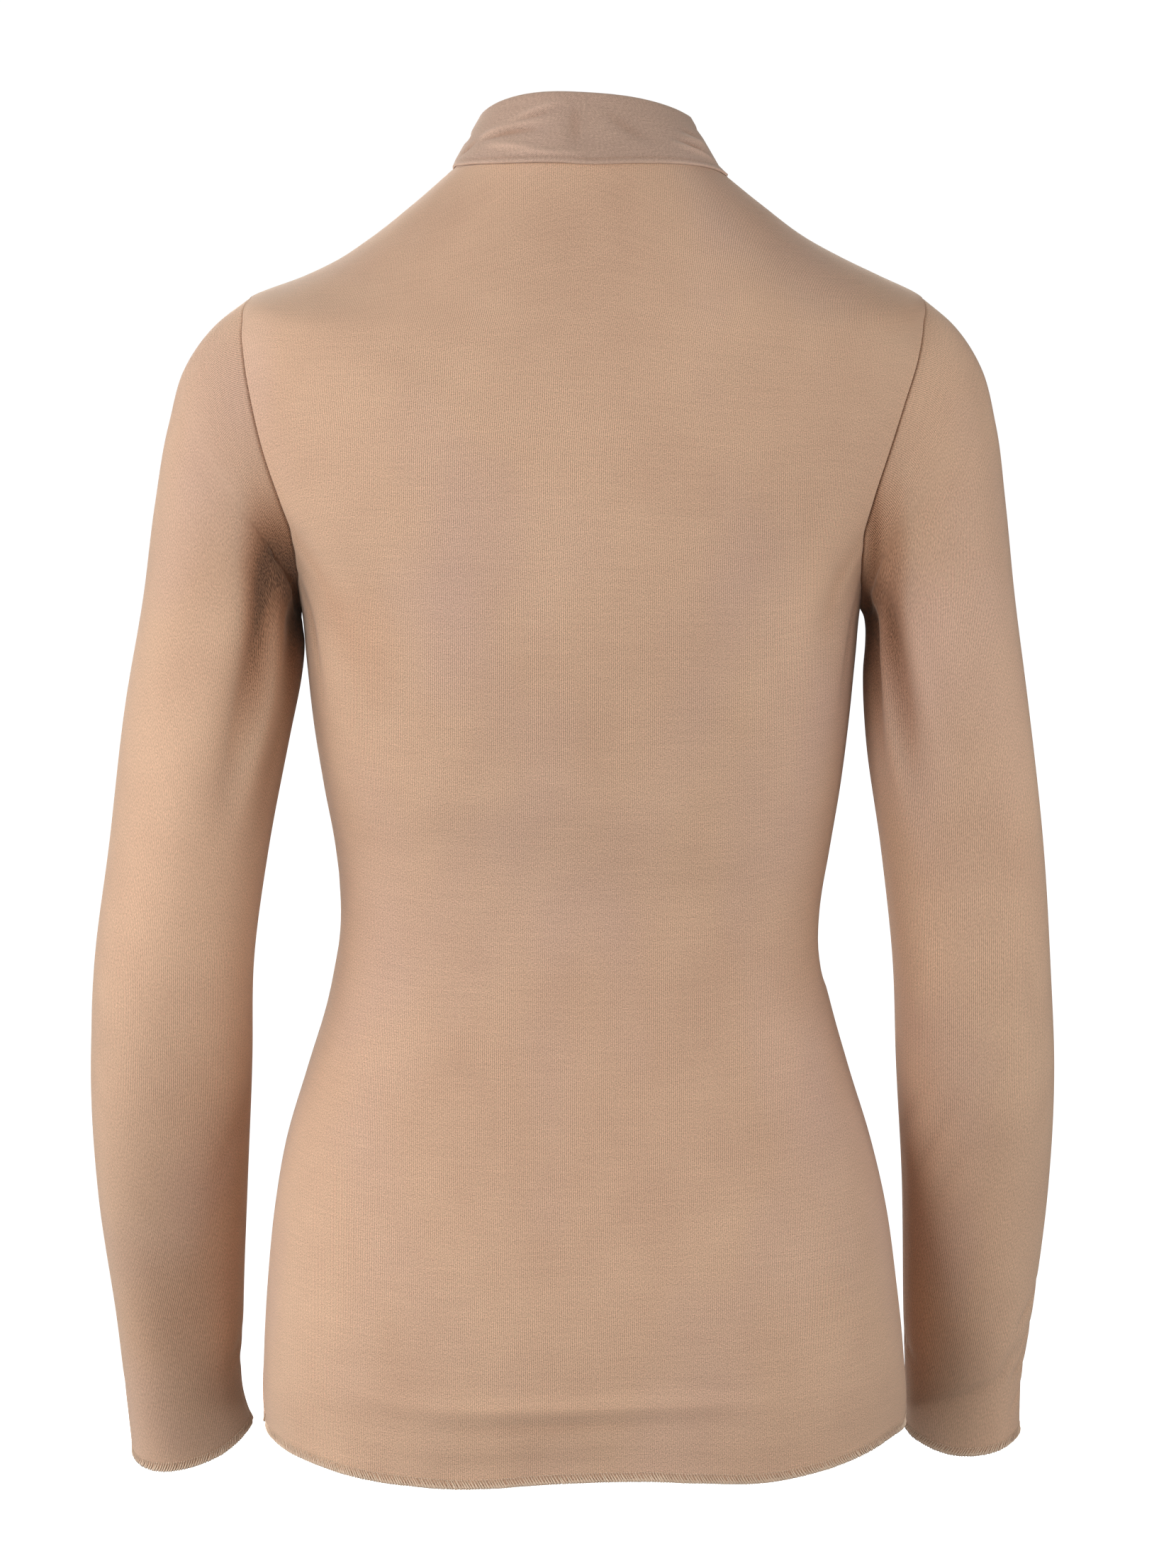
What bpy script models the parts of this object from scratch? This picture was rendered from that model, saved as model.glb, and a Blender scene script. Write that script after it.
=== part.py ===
"""A long-sleeved turtleneck top in fine stretch jersey, hollow and filled out as when it is worn.

Metres, +Z up. The front faces -Y and the wearer's left side is at +X. The origin is at the
middle of the neck, level with the high points of the shoulders, where the wearer holds it.

The body is one form of two numbers, an angle round it and a height, from which the front and
the back are cut. Each sleeve starts on the same armhole curve as the panels do, and the collar
on the neck curve. Every piece is a closed wall: its outer skin, and the same skin moved inwards.
"""
import math

import bmesh
import bpy
import numpy as np

WALL = 0.0012                 # thickness of one layer of cloth
SEAM_GAP = 0.0003             # clearance between two pieces along a seam

HEM_HEIGHT = -0.630           # hem at the side seams
UNDERARM_HEIGHT = -0.220      # lowest point of the armholes
SHOULDER_HEIGHT = -0.064      # highest point of the armholes
NECK_HEIGHT = 0.0             # neck seam at the shoulders

BACK_SCOOP = math.radians(31)     # how far the armhole reaches round into the back
FRONT_SCOOP = math.radians(26)    # and into the front
SCOOP_POWER_TOP = 0.7             # below 1, the armhole is squarer at that end
SCOOP_POWER_FOOT = 1.15
SLEEVE_FULLNESS = 0.03
COLLAR_FULLNESS = 0.03

COLLAR_SIDE_RISE = 0.0275     # height of the collar's fold at the sides
COLLAR_BACK_RISE = 0.0350     # at the centre of the back
COLLAR_FRONT_RISE = -0.011    # at the centre of the front
COLLAR_TILT = 0.0012          # how much higher the fold is at the wearer's left side
COLLAR_HALF_WIDTH = 0.0505    # of the inner layer at the fold
COLLAR_BACK_DEPTH = 0.041
COLLAR_FRONT_DEPTH = 0.053
COLLAR_SLOT = 0.0006          # air between the two layers of the collar
COLLAR_OVERHANG = 0.0008      # how far the outer layer reaches below the neck seam

BODY_ROWS = 13                # rows of facets from hem to underarm
BODY_CROWDING = 1.2           # above 1, rows are closer near the underarm
ARMHOLE_STEPS = 12            # from underarm to shoulder
SHOULDER_ROWS = 5             # from shoulder to neck
PANEL_COLUMNS = 26
SLEEVE_RINGS = 28
SLEEVE_CROWDING = 1.35        # above 1, rings are closer near the armhole
CAP_BLEND = 0.16              # share of the sleeve that turns from armhole curve to round section
COLLAR_COLUMNS = 44
COLLAR_STEPS = 5
FOLD_STEPS = 4

# Width of the body seen from the back: a row for each height at the side line.
BODY_WIDTHS = np.array((
    # height, half width, middle
    (-0.630, 0.1606, -0.0004),
    (-0.614, 0.1618, -0.0004),
    (-0.593, 0.1611, -0.0004),
    (-0.557, 0.1582, 0.0004),
    (-0.521, 0.1539, 0.0011),
    (-0.486, 0.1468, 0.0021),
    (-0.450, 0.1359, 0.0023),
    (-0.414, 0.1257, 0.0018),
    (-0.386, 0.1216, 0.0017),
    (-0.364, 0.1212, 0.0010),
    (-0.343, 0.1236, 0.0000),
    (-0.307, 0.1298, 0.0002),
    (-0.279, 0.1339, 0.0007),
    (-0.243, 0.1377, 0.0009),
    (-0.220, 0.1400, 0.0010),
    (-0.200, 0.1446, 0.0018),
    (-0.187, 0.1492, 0.0024),
    (-0.163, 0.1600, 0.0031),
    (-0.139, 0.1693, 0.0032),
    (-0.112, 0.1748, 0.0023),
    (-0.088, 0.1757, 0.0007),
    (-0.075, 0.1733, 0.0000),
    (-0.064, 0.1690, -0.0014),
    (-0.0536, 0.1464, -0.0040),
    (-0.0464, 0.1314, -0.0040),
    (-0.036, 0.1135, -0.0024),
    (-0.018, 0.0888, -0.0020),
    (0.0, 0.0672, -0.0014),
))

# Depth of the body seen from the side, and how far each row sinks at its two centres.
# A fullness of 0 makes the row two half ellipses, and more makes it squarer.
BODY_DEPTHS = np.array((
    # height, back, front, drop at the back, drop at the front, fullness
    (-0.630, 0.108, 0.098, 0.0150, 0.008, 0.08),
    (-0.590, 0.114, 0.101, 0.010, 0.006, 0.08),
    (-0.530, 0.112, 0.103, 0.006, 0.004, 0.08),
    (-0.470, 0.095, 0.101, 0.002, 0.002, 0.08),
    (-0.414, 0.080, 0.097, 0.0, 0.0, 0.08),
    (-0.364, 0.076, 0.096, 0.0, 0.0, 0.08),
    (-0.307, 0.085, 0.108, 0.0, 0.001, 0.08),
    (-0.243, 0.095, 0.121, 0.0, 0.004, 0.08),
    (-0.180, 0.098, 0.117, 0.005, 0.014, 0.08),
    (-0.130, 0.0955, 0.105, 0.012, 0.028, 0.08),
    (-0.088, 0.0895, 0.091, 0.018, 0.041, 0.08),
    (-0.064, 0.083, 0.082, 0.019, 0.046, 0.09),
    (-0.036, 0.071, 0.072, 0.012, 0.049, 0.10),
    (0.0, 0.0535, 0.061, -0.001, 0.050, 0.06),
))

# Sleeve sections from armhole to cuff: the underarm point and the outer point of each, seen
# from the back, then where its middle lies from front to back, and its two half depths.
LEFT_SLEEVE = np.array((
    # inner x, inner z, outer x, outer z, middle y, back, front
    (0.1410, -0.2200, 0.1680, -0.0640, 0.000, 0.048, 0.048),
    (0.1416, -0.2212, 0.1862, -0.0784, 0.000, 0.047, 0.048),
    (0.1419, -0.2240, 0.2008, -0.1000, 0.000, 0.047, 0.048),
    (0.1414, -0.2290, 0.2086, -0.1286, 0.001, 0.048, 0.048),
    (0.1403, -0.2375, 0.2145, -0.1660, 0.002, 0.049, 0.048),
    (0.1416, -0.2540, 0.2200, -0.2120, 0.004, 0.049, 0.048),
    (0.1475, -0.2860, 0.2290, -0.2650, 0.005, 0.048, 0.047),
    (0.1583, -0.3430, 0.2377, -0.3380, 0.006, 0.045, 0.045),
    (0.1655, -0.3960, 0.2455, -0.3960, 0.003, 0.043, 0.043),
    (0.1672, -0.4490, 0.2487, -0.4520, -0.009, 0.041, 0.041),
    (0.1710, -0.5120, 0.2474, -0.5170, -0.033, 0.038, 0.037),
    (0.1750, -0.5800, 0.2408, -0.5860, -0.062, 0.033, 0.032),
    (0.1763, -0.6260, 0.2364, -0.6330, -0.079, 0.030, 0.029),
    (0.1716, -0.6440, 0.2330, -0.6600, -0.087, 0.030, 0.029),
))
RIGHT_SLEEVE = np.array((
    # inner x, inner z, outer x, outer z, middle y, back, front
    (0.1390, -0.2200, 0.1700, -0.0640, 0.000, 0.048, 0.048),
    (0.1399, -0.2212, 0.1866, -0.0784, 0.000, 0.047, 0.048),
    (0.1412, -0.2240, 0.2003, -0.1000, 0.000, 0.047, 0.048),
    (0.1420, -0.2290, 0.2075, -0.1286, 0.001, 0.048, 0.048),
    (0.1420, -0.2370, 0.2118, -0.1640, 0.002, 0.049, 0.048),
    (0.1408, -0.2540, 0.2165, -0.2140, 0.004, 0.049, 0.048),
    (0.1424, -0.2860, 0.2232, -0.2690, 0.005, 0.048, 0.047),
    (0.1503, -0.3430, 0.2309, -0.3400, 0.006, 0.045, 0.045),
    (0.1561, -0.3960, 0.2350, -0.3960, 0.003, 0.043, 0.043),
    (0.1586, -0.4490, 0.2384, -0.4500, -0.009, 0.041, 0.041),
    (0.1630, -0.5120, 0.2376, -0.5130, -0.033, 0.037, 0.037),
    (0.1652, -0.5800, 0.2314, -0.5800, -0.056, 0.033, 0.032),
    (0.1668, -0.6220, 0.2262, -0.6240, -0.070, 0.030, 0.029),
    (0.1668, -0.6440, 0.2252, -0.6500, -0.077, 0.029, 0.028),
))

# Largest folds of the body: troughs where the depth is positive, ridges where it is negative.
BODY_FOLDS = np.array((
    # angle from centre back, height, lean, half length, half width, depth
    (58, -0.205, 24, 0.064, 0.015, 0.0026),
    (-57, -0.212, -22, 0.060, 0.015, 0.0024),
    (128, -0.196, -38, 0.090, 0.016, 0.0036),
    (-126, -0.204, 36, 0.082, 0.016, 0.0032),
    (100, -0.372, 74, 0.070, 0.018, 0.0024),
    (-96, -0.386, -76, 0.074, 0.018, 0.0026),
    (12, -0.604, 88, 0.120, 0.014, 0.0014),
    (172, -0.590, 86, 0.120, 0.015, 0.0016),
))

# Folds of a sleeve, placed by the turn from the underarm over the back, and the share of length.
LEFT_SLEEVE_FOLDS = np.array((
    # turn, share of length, lean, half length, half width, depth
    (42, 0.165, 6, 0.075, 0.012, 0.0042),
    (80, 0.215, 10, 0.060, 0.014, -0.0018),
    (318, 0.175, -8, 0.070, 0.013, 0.0038),
    (292, 0.560, 76, 0.036, 0.013, 0.0028),
    (262, 0.635, 84, 0.040, 0.013, 0.0030),
))
RIGHT_SLEEVE_FOLDS = np.array((
    # turn, share of length, lean, half length, half width, depth
    (36, 0.185, 4, 0.085, 0.012, 0.0044),
    (72, 0.180, 8, 0.060, 0.014, -0.0020),
    (316, 0.170, -10, 0.066, 0.013, 0.0038),
    (288, 0.575, 80, 0.038, 0.013, 0.0030),
    (264, 0.650, 74, 0.036, 0.013, 0.0026),
))

JERSEY_COLOUR = (0.546, 0.352, 0.238, 1.0)
JERSEY_ROUGHNESS = 0.85
JERSEY_METALLIC = 0.0

QUARTER_TURN = math.pi / 2
MITRE_LIMIT = 0.8             # a mitre is at most a quarter longer than the wall is thick
ANGLE_STEP = 1e-3
HEIGHT_STEP = 1e-4
SHARE_STEP = 1e-4


def curve_through(table, at):
    """Columns of the table after its first, read smoothly at places along that first column."""
    knots = table[:, 0]
    values = table[:, 1:]
    slopes = np.gradient(values, knots, axis=0)
    span = np.clip(np.searchsorted(knots, at, side="right") - 1, 0, len(knots) - 2)
    width = (knots[span + 1] - knots[span])[..., None]
    share = (at - knots[span])[..., None] / width
    rest = 1 - share
    return ((1 + 2 * share) * rest ** 2 * values[span]
            + share * rest ** 2 * width * slopes[span]
            + share ** 2 * (3 - 2 * share) * values[span + 1]
            - share ** 2 * rest * width * slopes[span + 1])


def smooth_step(value):
    """0 below 0, 1 above 1, and an even rise between."""
    value = np.clip(value, 0, 1)
    return value * value * (3 - 2 * value)


def fold_depth(folds, across, along):
    """Depth of all folds at a place, given its distances from each fold's middle in metres."""
    lean = np.radians(folds[:, 2])
    run = across * np.sin(lean) + along * np.cos(lean)
    side = across * np.cos(lean) - along * np.sin(lean)
    taper = np.cos(np.clip(run / folds[:, 3], -1, 1) * QUARTER_TURN) ** 2
    return (folds[:, 5] * taper * np.exp(-(side / folds[:, 4]) ** 2)).sum(axis=-1)


def outward(surface, first, second, first_step, second_step):
    """Unit normals of a surface of two numbers, from its two tangents."""
    along_first = surface(first + first_step, second) - surface(first - first_step, second)
    along_second = surface(first, second + second_step) - surface(first, second - second_step)
    normals = np.cross(along_second, along_first)
    return normals / np.linalg.norm(normals, axis=-1, keepdims=True)


def centre_share(angle):
    """1 at the centres of back and front, 0 at the side seams, with a broad top like a hem's."""
    return 1 - np.sin(angle) ** 4


def body_form(angle, height):
    """Smooth body. The angle is 0 at centre back and a quarter turn at the wearer's left side."""
    half_width, middle = np.moveaxis(curve_through(BODY_WIDTHS, height), -1, 0)
    back, front, back_drop, front_drop, fullness = np.moveaxis(
        curve_through(BODY_DEPTHS, height), -1, 0)
    full = 1 + fullness * np.sin(2 * angle) ** 2
    towards_back = np.cos(angle)
    at_back = towards_back > 0
    x = middle + half_width * np.sin(angle) * full
    y = np.where(at_back, back, front) * towards_back * full
    z = height - np.where(at_back, back_drop, front_drop) * centre_share(angle)
    return np.stack([x, y, z], axis=-1)


def body_skin(angle, height):
    """The body form with its folds pressed in along the normal."""
    angle, height = np.broadcast_arrays(angle, height)
    reach = curve_through(BODY_WIDTHS, height)[..., :1]
    turned = (angle[..., None] - np.radians(BODY_FOLDS[:, 0]) + math.pi) % (2 * math.pi) - math.pi
    depth = fold_depth(BODY_FOLDS, turned * reach, height[..., None] - BODY_FOLDS[:, 1])
    normals = outward(body_form, angle, height, ANGLE_STEP, HEIGHT_STEP)
    return body_form(angle, height) - depth[..., None] * normals


def scoop_share(turn):
    """Share of the full scoop along the armhole: an oval, squarer towards the shoulder."""
    up = (1 - np.cos(turn)) / 2
    power = SCOOP_POWER_FOOT + (SCOOP_POWER_TOP - SCOOP_POWER_FOOT) * up
    return np.clip(np.abs(np.sin(turn)), 0, 1) ** power


def armhole(side, turn):
    """Armhole curve: the turn is 0 at the underarm, a quarter at the back, half at the shoulder."""
    middle = (SHOULDER_HEIGHT + UNDERARM_HEIGHT) / 2
    half = (SHOULDER_HEIGHT - UNDERARM_HEIGHT) / 2
    scoop = np.where(np.sin(turn) > 0, BACK_SCOOP, -FRONT_SCOOP)
    reach = scoop * scoop_share(turn)
    return side * (QUARTER_TURN - reach), middle - half * np.cos(turn)


def sleeve_sections(side):
    """Sleeve table of one side, with the share of length of each section put in front."""
    table = LEFT_SLEEVE if side > 0 else RIGHT_SLEEVE
    middles = np.column_stack([(table[:, 0] + table[:, 2]) / 2, table[:, 4],
                               (table[:, 1] + table[:, 3]) / 2])
    steps = np.linalg.norm(np.diff(middles, axis=0), axis=1)
    shares = np.concatenate([[0], np.cumsum(steps)]) / steps.sum()
    return np.column_stack([shares, table]), steps.sum()


def sleeve_round(side, turn, share):
    """Plain sleeve tube in the plane of each section, with x counted outwards."""
    table, _ = sleeve_sections(side)

    def middle_of(at):
        inner_x, inner_z, outer_x, outer_z, middle_y = np.moveaxis(
            curve_through(table, at)[..., :5], -1, 0)
        return np.stack([(inner_x + outer_x) / 2, middle_y, (inner_z + outer_z) / 2], axis=-1)

    inner_x, inner_z, outer_x, outer_z, _, back, front = np.moveaxis(
        curve_through(table, share), -1, 0)
    spread = np.stack([outer_x - inner_x, np.zeros_like(inner_x), outer_z - inner_z], axis=-1) / 2
    run = middle_of(share + SHARE_STEP) - middle_of(share - SHARE_STEP)
    backwards = np.cross(run, spread)
    backwards /= np.linalg.norm(backwards, axis=-1, keepdims=True)
    backwards *= np.sign(backwards[..., 1:2])
    full = (1 + SLEEVE_FULLNESS * np.sin(2 * turn) ** 2)[..., None]
    depth = np.where(np.sin(turn) > 0, back, front)
    return (middle_of(share) - np.cos(turn)[..., None] * spread * full
            + (depth * np.sin(turn))[..., None] * backwards * full)


def sleeve_form(side, turn, share):
    """Sleeve that starts on the armhole curve and turns into the plain tube."""
    turn, share = np.broadcast_arrays(turn, share)
    mirror = np.array([side, 1, 1])
    start = body_skin(*armhole(side, turn)) * mirror
    pull = 1 - smooth_step(share / CAP_BLEND)
    plain = sleeve_round(side, turn, share)
    return (plain + pull[..., None] * (start - sleeve_round(side, turn, share * 0))) * mirror


def sleeve_skin(side, turn, share):
    """The sleeve form with its folds pressed in along the normal."""
    turn, share = np.broadcast_arrays(turn, share)
    table, length = sleeve_sections(side)
    folds = LEFT_SLEEVE_FOLDS if side > 0 else RIGHT_SLEEVE_FOLDS
    reach = curve_through(table, share)[..., 5:6]
    turned = (turn[..., None] - np.radians(folds[:, 0]) + math.pi) % (2 * math.pi) - math.pi
    depth = fold_depth(folds, turned * reach, (share[..., None] - folds[:, 1]) * length)
    depth = depth * smooth_step(share / CAP_BLEND)

    def form(a, b):
        return sleeve_form(side, a, b)

    normals = -side * outward(form, turn, share, ANGLE_STEP, SHARE_STEP)
    return form(turn, share) - depth[..., None] * normals


def collar_skin(angle, share):
    """Inner layer of the collar from the neck seam at 0 to the fold at 1."""
    angle, share = np.broadcast_arrays(angle, share)
    towards_back = np.cos(angle)
    at_back = towards_back > 0
    full = 1 + COLLAR_FULLNESS * np.sin(2 * angle) ** 2
    middle = BODY_WIDTHS[-1, 2]
    x = middle + COLLAR_HALF_WIDTH * np.sin(angle) * full
    y = np.where(at_back, COLLAR_BACK_DEPTH, COLLAR_FRONT_DEPTH) * towards_back * full
    centre_rise = np.where(at_back, COLLAR_BACK_RISE, COLLAR_FRONT_RISE)
    z = (COLLAR_SIDE_RISE + (centre_rise - COLLAR_SIDE_RISE) * centre_share(angle)
         + COLLAR_TILT * np.sin(angle))
    top = np.stack([x, y, z], axis=-1)
    foot = body_skin(angle, np.full(angle.shape, NECK_HEIGHT))
    return foot + (top - foot) * share[..., None]


def mitred(first, second):
    """Direction shared by two walls at a seam, long enough to keep both walls their thickness."""
    middle = first + second
    middle = middle / np.linalg.norm(middle, axis=-1, keepdims=True)
    cosine = np.clip((middle * first).sum(axis=-1, keepdims=True), MITRE_LIMIT, 1)
    return middle / cosine


def pull_back(loop, normals, inside):
    """Shift that draws a closed edge back into its own skin by half a seam gap."""
    edges = np.roll(loop, -1, axis=0) - loop
    edges /= np.linalg.norm(edges, axis=1, keepdims=True)
    after = np.cross(normals, edges)
    after /= np.linalg.norm(after, axis=1, keepdims=True)
    before = np.cross(normals, np.roll(edges, 1, axis=0))
    before /= np.linalg.norm(before, axis=1, keepdims=True)
    shift = (after + before) / (1 + (after * before).sum(axis=1, keepdims=True))
    if ((inside - loop) * shift).sum() < 0:
        shift = -shift
    return shift * SEAM_GAP / 2


def jersey(name):
    """Matt beige jersey."""
    material = bpy.data.materials.new(name)
    material.use_nodes = True
    shader = material.node_tree.nodes["Principled BSDF"]
    shader.inputs["Base Color"].default_value = JERSEY_COLOUR
    shader.inputs["Roughness"].default_value = JERSEY_ROUGHNESS
    shader.inputs["Metallic"].default_value = JERSEY_METALLIC
    material.diffuse_color = JERSEY_COLOUR
    return material


def add_piece(name, points, faces):
    """Object from points and faces, with every face turned outwards."""
    mesh = bpy.data.meshes.new(name)
    mesh.from_pydata([tuple(point) for point in points.reshape(-1, 3)], [], faces)
    shape = bmesh.new()
    shape.from_mesh(mesh)
    bmesh.ops.recalc_face_normals(shape, faces=shape.faces)
    shape.to_mesh(mesh)
    shape.free()
    mesh.shade_smooth()
    piece = bpy.data.objects.new(name, mesh)
    piece.data.materials.append(jersey(name + " jersey"))
    bpy.context.scene.collection.objects.link(piece)
    return piece


def skin_facets(skin, wraps_rows=False, wraps_columns=False):
    """Triangles of a grid of points, each four-sided facet split along its shorter diagonal."""
    rows, columns = skin.shape[:2]
    index = np.arange(rows * columns).reshape(rows, columns)
    if wraps_rows:
        index = np.concatenate([index, index[:1]], axis=0)
    if wraps_columns:
        index = np.concatenate([index, index[:, :1]], axis=1)
    a, b = index[:-1, :-1].ravel(), index[:-1, 1:].ravel()
    c, d = index[1:, 1:].ravel(), index[1:, :-1].ravel()
    points = skin.reshape(-1, 3)
    first = np.linalg.norm(points[a] - points[c], axis=1)
    second = np.linalg.norm(points[b] - points[d], axis=1)
    by_first = (first <= second)[:, None]
    one = np.where(by_first, np.stack([a, b, c], axis=1), np.stack([a, b, d], axis=1))
    other = np.where(by_first, np.stack([a, c, d], axis=1), np.stack([b, c, d], axis=1))
    return np.concatenate([one, other]).tolist()


def two_skins(facets, offset):
    """The same facets for the outer skin and, turned over, for the inner skin."""
    return facets + [[a + offset, c + offset, b + offset] for a, b, c in facets]


def rim(loop, offset):
    """Faces between an edge of the outer skin and the same edge of the inner skin."""
    following = loop[1:] + loop[:1]
    return [(a, b, b + offset, a + offset) for a, b in zip(loop, following)]


def panel_grid(middle, scoop):
    """Angles and heights of a panel's points. Rows are even at its middle and end on the armhole."""
    turns = np.linspace(0, math.pi, ARMHOLE_STEPS + 1)
    _, at_edge = armhole(1, turns)
    at_middle = np.linspace(UNDERARM_HEIGHT, SHOULDER_HEIGHT, ARMHOLE_STEPS + 1)
    rest = np.linspace(1, 0, BODY_ROWS + 1)[:-1] ** BODY_CROWDING
    body = UNDERARM_HEIGHT + (HEM_HEIGHT - UNDERARM_HEIGHT) * rest
    shoulder = np.linspace(SHOULDER_HEIGHT, NECK_HEIGHT, SHOULDER_ROWS + 1)[1:]
    even = np.concatenate([body, at_middle, shoulder])[:, None]
    edge = np.concatenate([body, at_edge, shoulder])[:, None]
    cut = np.concatenate([np.zeros(BODY_ROWS), scoop_share(turns), np.zeros(SHOULDER_ROWS)])
    across = np.linspace(-1, 1, PANEL_COLUMNS + 1)
    angle = middle + (QUARTER_TURN - scoop * cut)[:, None] * across
    return angle, even + (edge - even) * across ** 2


def make_panel(name, middle, scoop):
    """Front or back: all the body form on one side of the side seams, less the armholes."""
    angle, height = panel_grid(middle, scoop)
    skin = body_skin(angle, height)
    normals = outward(body_skin, angle, height, ANGLE_STEP, HEIGHT_STEP)

    at_armhole = slice(BODY_ROWS, BODY_ROWS + ARMHOLE_STEPS + 1)
    turns = np.linspace(0, math.pi, ARMHOLE_STEPS + 1)
    for column in (0, -1):
        side = 1 if skin[BODY_ROWS, column, 0] > 0 else -1
        over = turns if middle == 0 else 2 * math.pi - turns
        normals[at_armhole, column] = mitred(normals[at_armhole, column],
                                             sleeve_edge_normals(side, over))
    normals[-1] = mitred(normals[-1], collar_edge_normals(angle[-1]))

    rows, columns = skin.shape[:2]
    index = np.arange(rows * columns).reshape(rows, columns)
    loop = (list(index[0, :-1]) + list(index[:-1, -1])
            + list(index[-1, :0:-1]) + list(index[:0:-1, 0]))
    loop = [int(one) for one in loop]
    outer = skin.reshape(-1, 3).copy()
    flat = normals.reshape(-1, 3)
    centre = outer.mean(axis=0)
    outer[loop] += pull_back(outer[loop], flat[loop], centre)
    inner = outer - WALL * flat
    count = rows * columns
    faces = two_skins(skin_facets(outer.reshape(rows, columns, 3)), count) + rim(loop, count)
    return add_piece(name, np.concatenate([outer, inner]), faces)


def sleeve_edge_normals(side, turn):
    """Normals of the sleeve where it meets the armhole."""
    def form(a, b):
        return sleeve_form(side, a, b)
    return -side * outward(form, turn, np.full(turn.shape, SHARE_STEP), ANGLE_STEP, SHARE_STEP)


def collar_edge_normals(angle):
    """Normals of the collar where it meets the neck."""
    return outward(collar_skin, angle, np.zeros(angle.shape), ANGLE_STEP, SHARE_STEP)


def make_sleeve(name, side):
    """Tube from the armhole curve to the cuff, open at both ends."""
    turn = np.linspace(0, 2 * math.pi, 2 * ARMHOLE_STEPS + 1)[:-1]
    share = np.linspace(0, 1, SLEEVE_RINGS + 1) ** SLEEVE_CROWDING
    turn, share = np.broadcast_arrays(turn[None, :], share[:, None])

    def skin_of(a, b):
        return sleeve_skin(side, a, b)

    skin = skin_of(turn, share).copy()
    normals = -side * outward(skin_of, turn, np.maximum(share, SHARE_STEP), ANGLE_STEP, SHARE_STEP)
    body_normals = outward(body_skin, *armhole(side, turn[0]), ANGLE_STEP, HEIGHT_STEP)
    normals[0] = mitred(normals[0], body_normals)
    skin[0] += pull_back(skin[0], normals[0], skin[1])
    inner = skin - WALL * normals

    rows, columns = skin.shape[:2]
    count = rows * columns
    first = list(range(columns))
    last = list(range(count - columns, count))
    faces = (two_skins(skin_facets(skin, wraps_columns=True), count)
             + rim(first, count) + rim(last, count))
    return add_piece(name, np.concatenate([skin.reshape(-1, 3), inner.reshape(-1, 3)]), faces)


def collar_profile():
    """Closed outline of the double layer: share of height, and distance outwards."""
    height = COLLAR_SIDE_RISE - NECK_HEIGHT
    whole = 2 * WALL + COLLAR_SLOT
    low = -COLLAR_OVERHANG / height
    foot = SEAM_GAP / 2 / height
    slot_top = 1 - WALL / height
    outer = [(share, whole) for share in np.linspace(low, 1, COLLAR_STEPS + 1)]
    turns = [math.pi * step / FOLD_STEPS for step in range(1, FOLD_STEPS)]
    fold = [(1 + whole / 2 * math.sin(turn) / height, whole / 2 * (1 + math.cos(turn)))
            for turn in turns]
    inner = [(share, 0.0) for share in np.linspace(1, foot, COLLAR_STEPS + 1)]
    slot_inside = [(share, WALL) for share in np.linspace(foot, slot_top, COLLAR_STEPS)]
    slot_outside = [(share, WALL + COLLAR_SLOT)
                    for share in np.linspace(slot_top, low, COLLAR_STEPS)]
    profile = np.array(outer + fold + inner + slot_inside + slot_outside)
    return profile[:, 0], profile[:, 1] - WALL


def make_collar(name):
    """Band folded over at the top, its outer layer hanging back down to the neck seam."""
    angle = np.linspace(0, 2 * math.pi, COLLAR_COLUMNS + 1)[:-1]
    share, outwards = collar_profile()
    angle, share = np.broadcast_arrays(angle[:, None], share[None, :])
    at_wall = np.clip(share, 0, 1)
    normals = outward(collar_skin, angle, at_wall, ANGLE_STEP, SHARE_STEP)
    body_normals = outward(body_skin, angle, np.full(angle.shape, NECK_HEIGHT),
                           ANGLE_STEP, HEIGHT_STEP)
    foot = SEAM_GAP / 2 / (COLLAR_SIDE_RISE - NECK_HEIGHT)
    on_seam = np.isclose(share, foot)[..., None]
    normals = np.where(on_seam, mitred(normals, body_normals), normals)
    points = collar_skin(angle, share) + outwards[None, :, None] * normals
    return add_piece(name, points, skin_facets(points, wraps_rows=True, wraps_columns=True))


def main():
    for thing in list(bpy.data.objects):
        bpy.data.objects.remove(thing)
    make_panel("back", 0, BACK_SCOOP)
    make_panel("front", math.pi, FRONT_SCOOP)
    make_sleeve("sleeve_left", 1)
    make_sleeve("sleeve_right", -1)
    make_collar("collar")


main()
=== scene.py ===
# Long-sleeved turtleneck top in beige jersey, seen from the back, filled out as when it is worn.
# Metres, +Z up. Front is -Y, the wearer's left is +X, the origin is the middle of the neck.
import math

import bpy
import numpy as np
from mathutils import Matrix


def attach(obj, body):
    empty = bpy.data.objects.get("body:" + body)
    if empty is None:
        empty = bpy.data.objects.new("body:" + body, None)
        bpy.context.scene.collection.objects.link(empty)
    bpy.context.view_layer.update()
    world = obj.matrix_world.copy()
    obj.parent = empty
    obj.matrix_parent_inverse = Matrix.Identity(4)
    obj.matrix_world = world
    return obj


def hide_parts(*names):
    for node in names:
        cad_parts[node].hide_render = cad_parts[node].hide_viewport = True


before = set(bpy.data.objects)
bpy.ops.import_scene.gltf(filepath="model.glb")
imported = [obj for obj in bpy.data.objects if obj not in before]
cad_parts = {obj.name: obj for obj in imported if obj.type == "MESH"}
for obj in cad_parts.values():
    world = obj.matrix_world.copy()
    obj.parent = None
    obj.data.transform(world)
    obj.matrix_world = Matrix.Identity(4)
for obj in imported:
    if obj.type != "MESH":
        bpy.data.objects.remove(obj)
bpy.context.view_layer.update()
print("frame loaded:", sorted(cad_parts))

wholeTurn = 2 * math.pi
halfTurn = math.pi
quarterTurn = math.pi / 2
angleStep = 1e-3
heightStep = 1e-4
shareStep = 1e-4

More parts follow.
